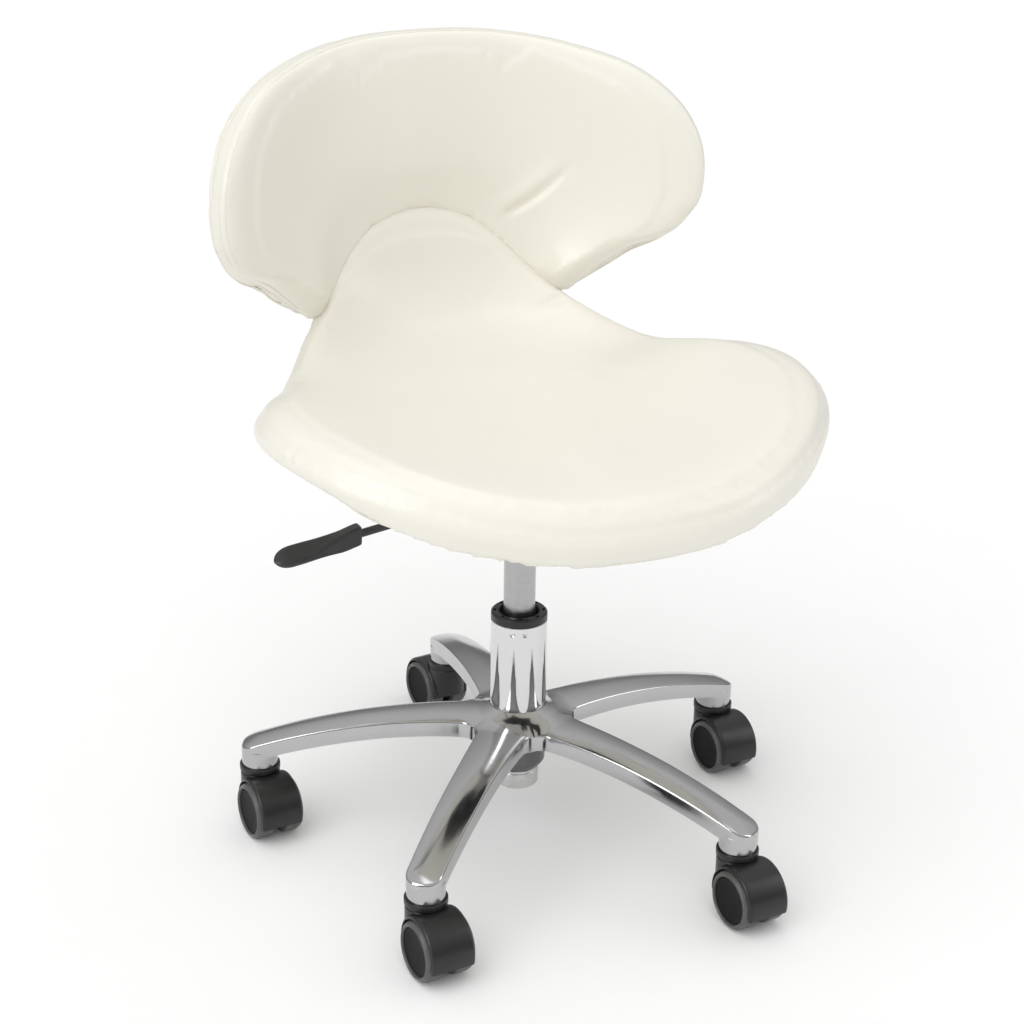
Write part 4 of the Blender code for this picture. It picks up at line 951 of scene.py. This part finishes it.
def stuffed(mesh, name):
    """A pad of fabric, swollen by a short cloth run under pressure, and then subdivided."""
    mesh = remeshed(mesh, name)
    fitted, facing = coordinates(mesh), normals(mesh)
    free = board_side(fitted, facing)[:, None]
    start = fitted - facing * free * SHRINK
    put(mesh, start)
    item = linked(name, mesh)
    cloth = item.modifiers.new("cloth", "CLOTH")
    cloth.settings.use_pressure = True
    cloth.settings.uniform_pressure_force = 4.0
    cloth.settings.effector_weights.gravity = 0.0
    for number in range(1, 21):
        SCENE.frame_set(number)
    graph = bpy.context.evaluated_depsgraph_get()
    swollen = coordinates(item.evaluated_get(graph).data).copy()
    item.modifiers.remove(cloth)
    SCENE.frame_set(1)
    move = swollen - start
    size = np.linalg.norm(move, axis=1)[:, None]
    move *= np.minimum(1.0, SWELL_CAP / np.maximum(size, 1e-9)) * free
    away = ((start + move - fitted) * facing).sum(1)[:, None]
    slide = start + move - fitted - away * facing
    rim = np.linalg.norm(slide, axis=1)[:, None]
    slide *= np.minimum(1.0, SLIDE_CAP / np.maximum(rim, 1e-9))
    put(mesh, fitted + facing * np.clip(away, -SINK_CAP, RISE_CAP) + slide)
    bpy.data.objects.remove(item, do_unlink=True)
    item = linked(name, mesh)
    fine = item.modifiers.new("fine", "SUBSURF")
    fine.levels = 1
    fine.render_levels = 1
    return smoothed(item, name, 3)


def tree_of(mesh):
    return BVHTree.FromPolygons([v.co for v in mesh.vertices], [tuple(f.vertices) for f in mesh.polygons])


def groove(mesh, lines, depth, width):
    """Presses the surface in along some lines of points."""
    points = [Vector(p) for line in lines for p in line]
    tree = KDTree(len(points))
    for i, point in enumerate(points):
        tree.insert(point, i)
    tree.balance()
    moved, facing = coordinates(mesh), normals(mesh)
    for i, point in enumerate(moved):
        _, _, distance = tree.find(point)
        if distance < 3 * width:
            moved[i] = point - facing[i] * depth * np.exp(-(distance / width) ** 2)
    put(mesh, moved)


def on_surface(mesh, points, lift=0.0):
    """The points moved onto a mesh and lifted off it."""
    tree = tree_of(mesh)
    result = []
    for point in points:
        place, normal, _, _ = tree.find_nearest(Vector(point))
        result.append(place + normal * lift)
    for _ in range(4):
        result[1:-1] = [(a + b * 2 + c) / 4 for a, b, c in zip(result, result[1:], result[2:])]
    return result


def cord_mesh(name, points, radius, closed=False, sides=8):
    """A thin round bead along a line of points."""
    spots = [Vector(p) for p in points]
    count = len(spots)
    rings = []
    normal = Vector((0.3, 0.2, 1.0)).normalized()
    for i, spot in enumerate(spots):
        before = spots[i - 1] if i or closed else spots[0]
        after = spots[(i + 1) % count] if i + 1 < count or closed else spots[-1]
        way = (after - before).normalized()
        normal = (normal - way * normal.dot(way)).normalized()
        side = way.cross(normal)
        rings.append([tuple(spot + (normal * x + side * y) * radius) for x, y in ring(1.0, sides)])
    return loft(name, rings, closed=closed, caps=not closed, angle=60)


# ---------------------------------------------------------------- upholstery

def seat_pad():
    half = resampled(SEAT_OUTLINE, 150)
    rings = [seat_ring(half, *knot) for knot in seat_profile()]
    bm = bmesh.new()
    loops = [[bm.verts.new(p) for p in loop] for loop in rings]
    joined(bm, loops)
    bmesh.ops.remove_doubles(bm, verts=bm.verts, dist=0.00008)
    bmesh.ops.dissolve_degenerate(bm, edges=bm.edges, dist=0.00008)
    mesh = stuffed(finished(bm, "seat_pad"), "seat_pad")
    seam = seat_ring(half, 0.0062, 0.0, 0.84)
    groove(mesh, [seam], 0.0008, 0.0022)
    item = piece("seat_pad", mesh, VINYL, "seat", "seat_cushion", "seat_cushion")
    bead = on_surface(mesh, seam, 0.0001)
    piece("seat_seam", cord_mesh("seat_seam", bead, SEAM_BEAD, closed=True), THREAD, "seat", "seat_cushion")
    return mesh


def wrinkle(mesh):
    """The pull that runs up the back pad from the corner of the tongue."""
    line = [Vector(surface_point(s, x, BACK_PAD)) for s, x in WRINKLE]
    start, end = line[0], line[-1]
    run = end - start
    moved, facing = coordinates(mesh), normals(mesh)
    across = run.cross(Vector((0.0, -1.0, 0.15))).normalized()
    for i, point in enumerate(moved):
        if facing[i][1] > 0.3:
            continue
        t = (Vector(point) - start).dot(run) / run.length_squared
        if not -0.2 < t < 1.25:
            continue
        fade = smoothstep(-0.2, 0.15, t) * (1 - smoothstep(0.55, 1.25, t))
        bow = 0.002 * sin(pi * min(1.0, max(0.0, t)))
        offset = Vector(point) - start - run * t
        q = offset.dot(across) - bow
        if offset.length > WRINKLE_REACH:
            continue
        valley = -0.0026 * np.exp(-(q / 0.0042) ** 2)
        ridge = 0.0018 * np.exp(-((q - WRINKLE_SIDE * 0.0095) / 0.0070) ** 2)
        moved[i] = point + facing[i] * (valley + ridge) * fade
    put(mesh, moved)


def back_pad():
    lines = back_lines()
    rows = mirrored_rows(lambda f: back_row(lines, f, back_profile()), 90)
    bm = bmesh.new()
    loops = [[bm.verts.new(p) for p in loop] for loop in rows]
    joined(bm, loops)
    bm.faces.new(loops[0])
    bm.faces.new(list(reversed(loops[-1])))
    bmesh.ops.remove_doubles(bm, verts=bm.verts, dist=0.00003)
    mesh = stuffed(finished(bm, "back_pad"), "back_pad")
    wrinkle(mesh)
    seams = []
    for knot in ((0.999, 0.40, 0), (-0.0012, 0.14, 0), (-0.0065, 0.0, 0.92)):
        seam_rows = mirrored_rows(lambda f: back_row(lines, 0.03 + 0.97 * f, [knot]), 110)
        seams.append([p for row in seam_rows for p in row])
    groove(mesh, seams, 0.0005, 0.0020)
    item = piece("back_pad", mesh, VINYL, "seat", "back_cushion", "back_cushion")
    for number, seam in enumerate(seams):
        bead = on_surface(mesh, seam, 0.0001)
        radius, finish = (SEAM_BEAD, THREAD) if number < 2 else (WELT_BEAD, VINYL)
        piece("back_seam_%d" % (number + 1), cord_mesh("back_seam", bead, radius), finish, "seat",
              "back_cushion")


def board_half_width(s):
    wing = WING_INSET * smoothstep(0.09, 0.15, s) * (1 - smoothstep(0.36, 0.43, s))
    narrow = half_width(SEAT_LINE, s) * (1 - 0.12 * smoothstep(0.39, 0.44, s)) - wing
    return narrow if s < NECK_END else max(narrow, half_width(BACK_LINE, s))


def slab(name, places, depth_at, columns=48):
    """A sheet that follows the seat surface: depth_at(s, edge) gives its front and its rear face."""
    bm = bmesh.new()
    front, rear = [], []
    for s in places:
        half = board_half_width(s)
        for grid, face in ((front, 0), (rear, 1)):
            row = []
            for j in range(columns + 1):
                across = sin(pi / 2 * (-1 + 2 * j / columns))
                row.append(bm.verts.new(surface_point(s, half * across, depth_at(s, 1 - abs(across))[face])))
            grid.append(row)
    for i in range(len(places) - 1):
        for j in range(columns):
            bm.faces.new((front[i][j], front[i][j + 1], front[i + 1][j + 1], front[i + 1][j]))
            bm.faces.new((rear[i][j], rear[i + 1][j], rear[i + 1][j + 1], rear[i][j + 1]))
        bm.faces.new((front[i][0], front[i + 1][0], rear[i + 1][0], rear[i][0]))
        bm.faces.new((front[i][-1], rear[i][-1], rear[i + 1][-1], front[i + 1][-1]))
    for j in range(columns):
        bm.faces.new((front[0][j], rear[0][j], rear[0][j + 1], front[0][j + 1]))
        bm.faces.new((front[-1][j], front[-1][j + 1], rear[-1][j + 1], rear[-1][j]))
    return finished(bm, name)


def cover(name, first, last, pad, soft_ends, soft_edge):
    top = -FACE_GAP - BOARD - COVER_GAP

    def depth_at(s, edge):
        share = max(0.0, min((s - first) / soft_ends, (last - s) / soft_ends, edge / soft_edge, 1.0))
        return top, top - COVER_RIM - (pad - COVER_RIM) * share * (2 - share)
    return slab(name, np.linspace(first, last, 80), depth_at)


def border(places, depth):
    """A closed line round the edge of a sheet between two places."""
    up = [surface_point(s, board_half_width(s) - 0.0012, depth) for s in places]
    down = [(-x, y, z) for x, y, z in reversed(up)]
    half = board_half_width(places[-1]) - 0.0012
    top = [surface_point(places[-1] - 0.001, half * (1 - 2 * k / 30), depth) for k in range(1, 30)]
    half = board_half_width(places[0]) - 0.0012
    low = [surface_point(places[0] + 0.001, half * (-1 + 2 * k / 30), depth) for k in range(1, 30)]
    return up + top + down + low


def make_board_and_covers():
    mesh = slab("bent_board", np.linspace(BOARD_FROM, BOARD_TO, 150),
                lambda s, edge: (-FACE_GAP, -FACE_GAP - BOARD))
    piece("bent_board", mesh, PLY, "seat", "seat_shell", "seat_shell")
    for name, node, first, last, pad, ends, edge in (
            ("under_panel", "under_cover", UNDER_FROM, UNDER_TO, UNDER_PAD, 0.04, 0.20),
            ("back_panel", "back_cover", REAR_FROM, REAR_TO, BACK_COVER_PAD, 0.06, 0.30)):
        item = piece(name, cover(name, first, last, pad, ends, edge), VINYL, "seat", node, node)
        line = border(np.linspace(first, last, 90), -FACE_GAP - BOARD - COVER_GAP - COVER_RIM)
        piece(name + "_welt", cord_mesh(name + "_welt", line, WELT_BEAD, closed=True), VINYL, "seat", node)


# ---------------------------------------------------------------- lever

def lever_point(x):
    return (x, 0.0, LEVER_HEIGHT + x * tan(LEVER_SLOPE))


def grip_mesh():
    """A boxy sleeve that flattens to a paddle, whose broad face turns forwards along its length."""
    rings = []
    steps = 70
    for n in range(steps + 1):
        share = n / steps
        flat = smoothstep(0.10, 0.72, share)
        broad, thick = 0.0062 + 0.0035 * flat, 0.0086 - 0.0047 * flat
        end = max(sqrt(max(0.0, 1 - (max(0.0, share - 0.80) / 0.20) ** 2)), 0.10)
        start = 1 - 0.10 * (1 - smoothstep(0.0, 0.02, share))
        broad, thick, power = broad * end * start, thick * max(end, 0.35) * start, 7.0 - 3.2 * flat
        centre = Vector(lever_point(GRIP_START + (GRIP_END - GRIP_START) * share))
        centre.z -= 0.002 * smoothstep(0.0, 0.25, share)
        turn_forward = radians(32) * flat
        loop = []
        for i in range(72):
            turn = 2 * pi * i / 72
            c, s = cos(turn), sin(turn)
            across = broad * abs(c) ** (2 / power) * (1 if c > 0 else -1)
            over = thick * abs(s) ** (2 / power) * (1 if s > 0 else -1)
            y = across * cos(turn_forward) - over * sin(turn_forward)
            z = across * sin(turn_forward) + over * cos(turn_forward)
            loop.append(tuple(centre + Vector((0, y, z))))
        rings.append(loop)
    return loft("lever_handle", rings, caps=True, angle=40)


def make_lever():
    middle = lever_point((LEVER_INNER + LEVER_OUTER) / 2)
    length = (LEVER_INNER - LEVER_OUTER) / cos(LEVER_SLOPE)
    rod = [(0.0, length / 2), (0.0028, length / 2), (LEVER_RADIUS, length / 2 - 0.0008),
           (LEVER_RADIUS, -length / 2 + 0.0008), (0.0028, -length / 2), (0.0, -length / 2)]
    mesh = turned("lever_bar", soften(rod, 0.0004, closed=False), 40, closed=False)
    mesh.transform(Matrix.Translation(middle) @ Matrix.Rotation(-LEVER_SLOPE, 4, "Y")
                   @ Matrix.Rotation(pi / 2, 4, "Y"))
    piece("lever_bar", mesh, PAINT, "lever", "lever_rod", "lever_rod")
    piece("lever_handle", grip_mesh(), GRIP, "lever", "lever_grip", "lever_grip")
    bush = [(0.0095, 0.0045), (0.0095, 0.0022), (0.0072, 0.0022), (0.0072, -0.0042), (0.0046, -0.0042),
            (0.0046, 0.0045)]
    wall = Matrix.Translation(lever_point(BOX_WALL_X)) @ Matrix.Rotation(-pi / 2, 4, "Y")
    mesh = turned("lever_collar", soften(bush, 0.0005), 64)
    mesh.transform(wall)
    piece("lever_collar", mesh, NYLON, "seat", "lever_bush", "lever_bush")


# ---------------------------------------------------------------- stage

def make_stage():
    mesh = bpy.data.meshes.new("studio_floor")
    mesh.from_pydata([(x, y, 0.0) for x, y in ring(FLOOR_RADIUS, 64)], [], [list(range(64))])
    floor = linked("studio_floor", mesh)
    white = look("floor_white", (0.96, 0.96, 0.96), 0.9, tone=0.004, relief=0.00002, relief_scale=50.0,
                 specular=0.1)
    mesh.materials.append(white)

    world = SCENE.world or bpy.data.worlds.new("studio")
    SCENE.world = world
    world.use_nodes = True
    nodes, links = world.node_tree.nodes, world.node_tree.links
    background = nodes["Background"]
    place = nodes.new("ShaderNodeTexCoord")
    split = nodes.new("ShaderNodeSeparateXYZ")
    links.new(place.outputs["Generated"], split.inputs["Vector"])
    ramp = colour_ramp(nodes, (0.0, (0.60, 0.60, 0.60)), (0.40, (1.0, 1.0, 1.0)))
    dim = colour_ramp(nodes, (0.02, (0.22, 0.22, 0.225)), (0.70, (0.95, 0.95, 0.95)))
    for shade in (ramp, dim):
        links.new(split.outputs["Z"], shade.inputs["Fac"])
    ray = nodes.new("ShaderNodeLightPath")
    mix = nodes.new("ShaderNodeMix")
    mix.data_type = "RGBA"
    links.new(ray.outputs["Is Glossy Ray"], mix.inputs[0])
    links.new(ramp.outputs["Color"], mix.inputs[6])
    links.new(dim.outputs["Color"], mix.inputs[7])
    links.new(mix.outputs[2], background.inputs["Color"])
    background.inputs["Strength"].default_value = WORLD_STRENGTH

    for name, place, size, power in LIGHTS:
        lamp = light(name, "AREA", place, power)
        lamp.data.shape = "RECTANGLE"
        lamp.data.size, lamp.data.size_y = size
        lamp.visible_diffuse = False
    lamp = light("sky", "SUN", SUN_PLACE, SUN_STRENGTH)
    lamp.data.angle = SUN_ANGLE
    lamp.visible_glossy = False


def light(name, kind, place, power):
    """A light that points at the stool."""
    lamp = linked(name, bpy.data.lights.new(name, kind))
    lamp.data.energy = power
    aim = Vector(LIGHT_AIM) - Vector(place)
    lamp.matrix_world = Matrix.Translation(place) @ aim.to_track_quat("-Z", "Y").to_matrix().to_4x4()
    return lamp


def make_camera():
    level = cos(CAMERA_ELEVATION)
    back = Vector((sin(CAMERA_AZIMUTH) * level, -cos(CAMERA_AZIMUTH) * level, sin(CAMERA_ELEVATION)))
    right = Vector((cos(CAMERA_AZIMUTH), sin(CAMERA_AZIMUTH), 0.0))
    up = back.cross(right)
    c, s = cos(CAMERA_ROLL), sin(CAMERA_ROLL)
    right, up = right * c + up * s, up * c - right * s
    camera = linked("camera", bpy.data.cameras.new("camera"))
    camera.data.lens = CAMERA_LENS
    camera.data.sensor_width = 36.0
    camera.data.shift_x = CAMERA_SHIFT
    turn = Matrix((right, up, back)).transposed().to_4x4()
    target = AXIS @ Vector(CAMERA_TARGET)
    camera.matrix_world = Matrix.Translation(target + back * CAMERA_DISTANCE) @ turn
    SCENE.camera = camera


SPINE_LINE = Spine()
SEAT_LINE = inset(resampled(SEAT_OUTLINE, 200), BOARD_INSET)[:150]
BACK_LINE = inset(resampled(BACK_OUTLINE, 200), BACK_INSET)

make_camera()
make_stage()
make_star_base()
make_column()
make_casters()
seat_pad()
back_pad()
make_board_and_covers()
make_lever()
cover_kept_nodes()
SCENE.view_settings.view_transform = "Standard"
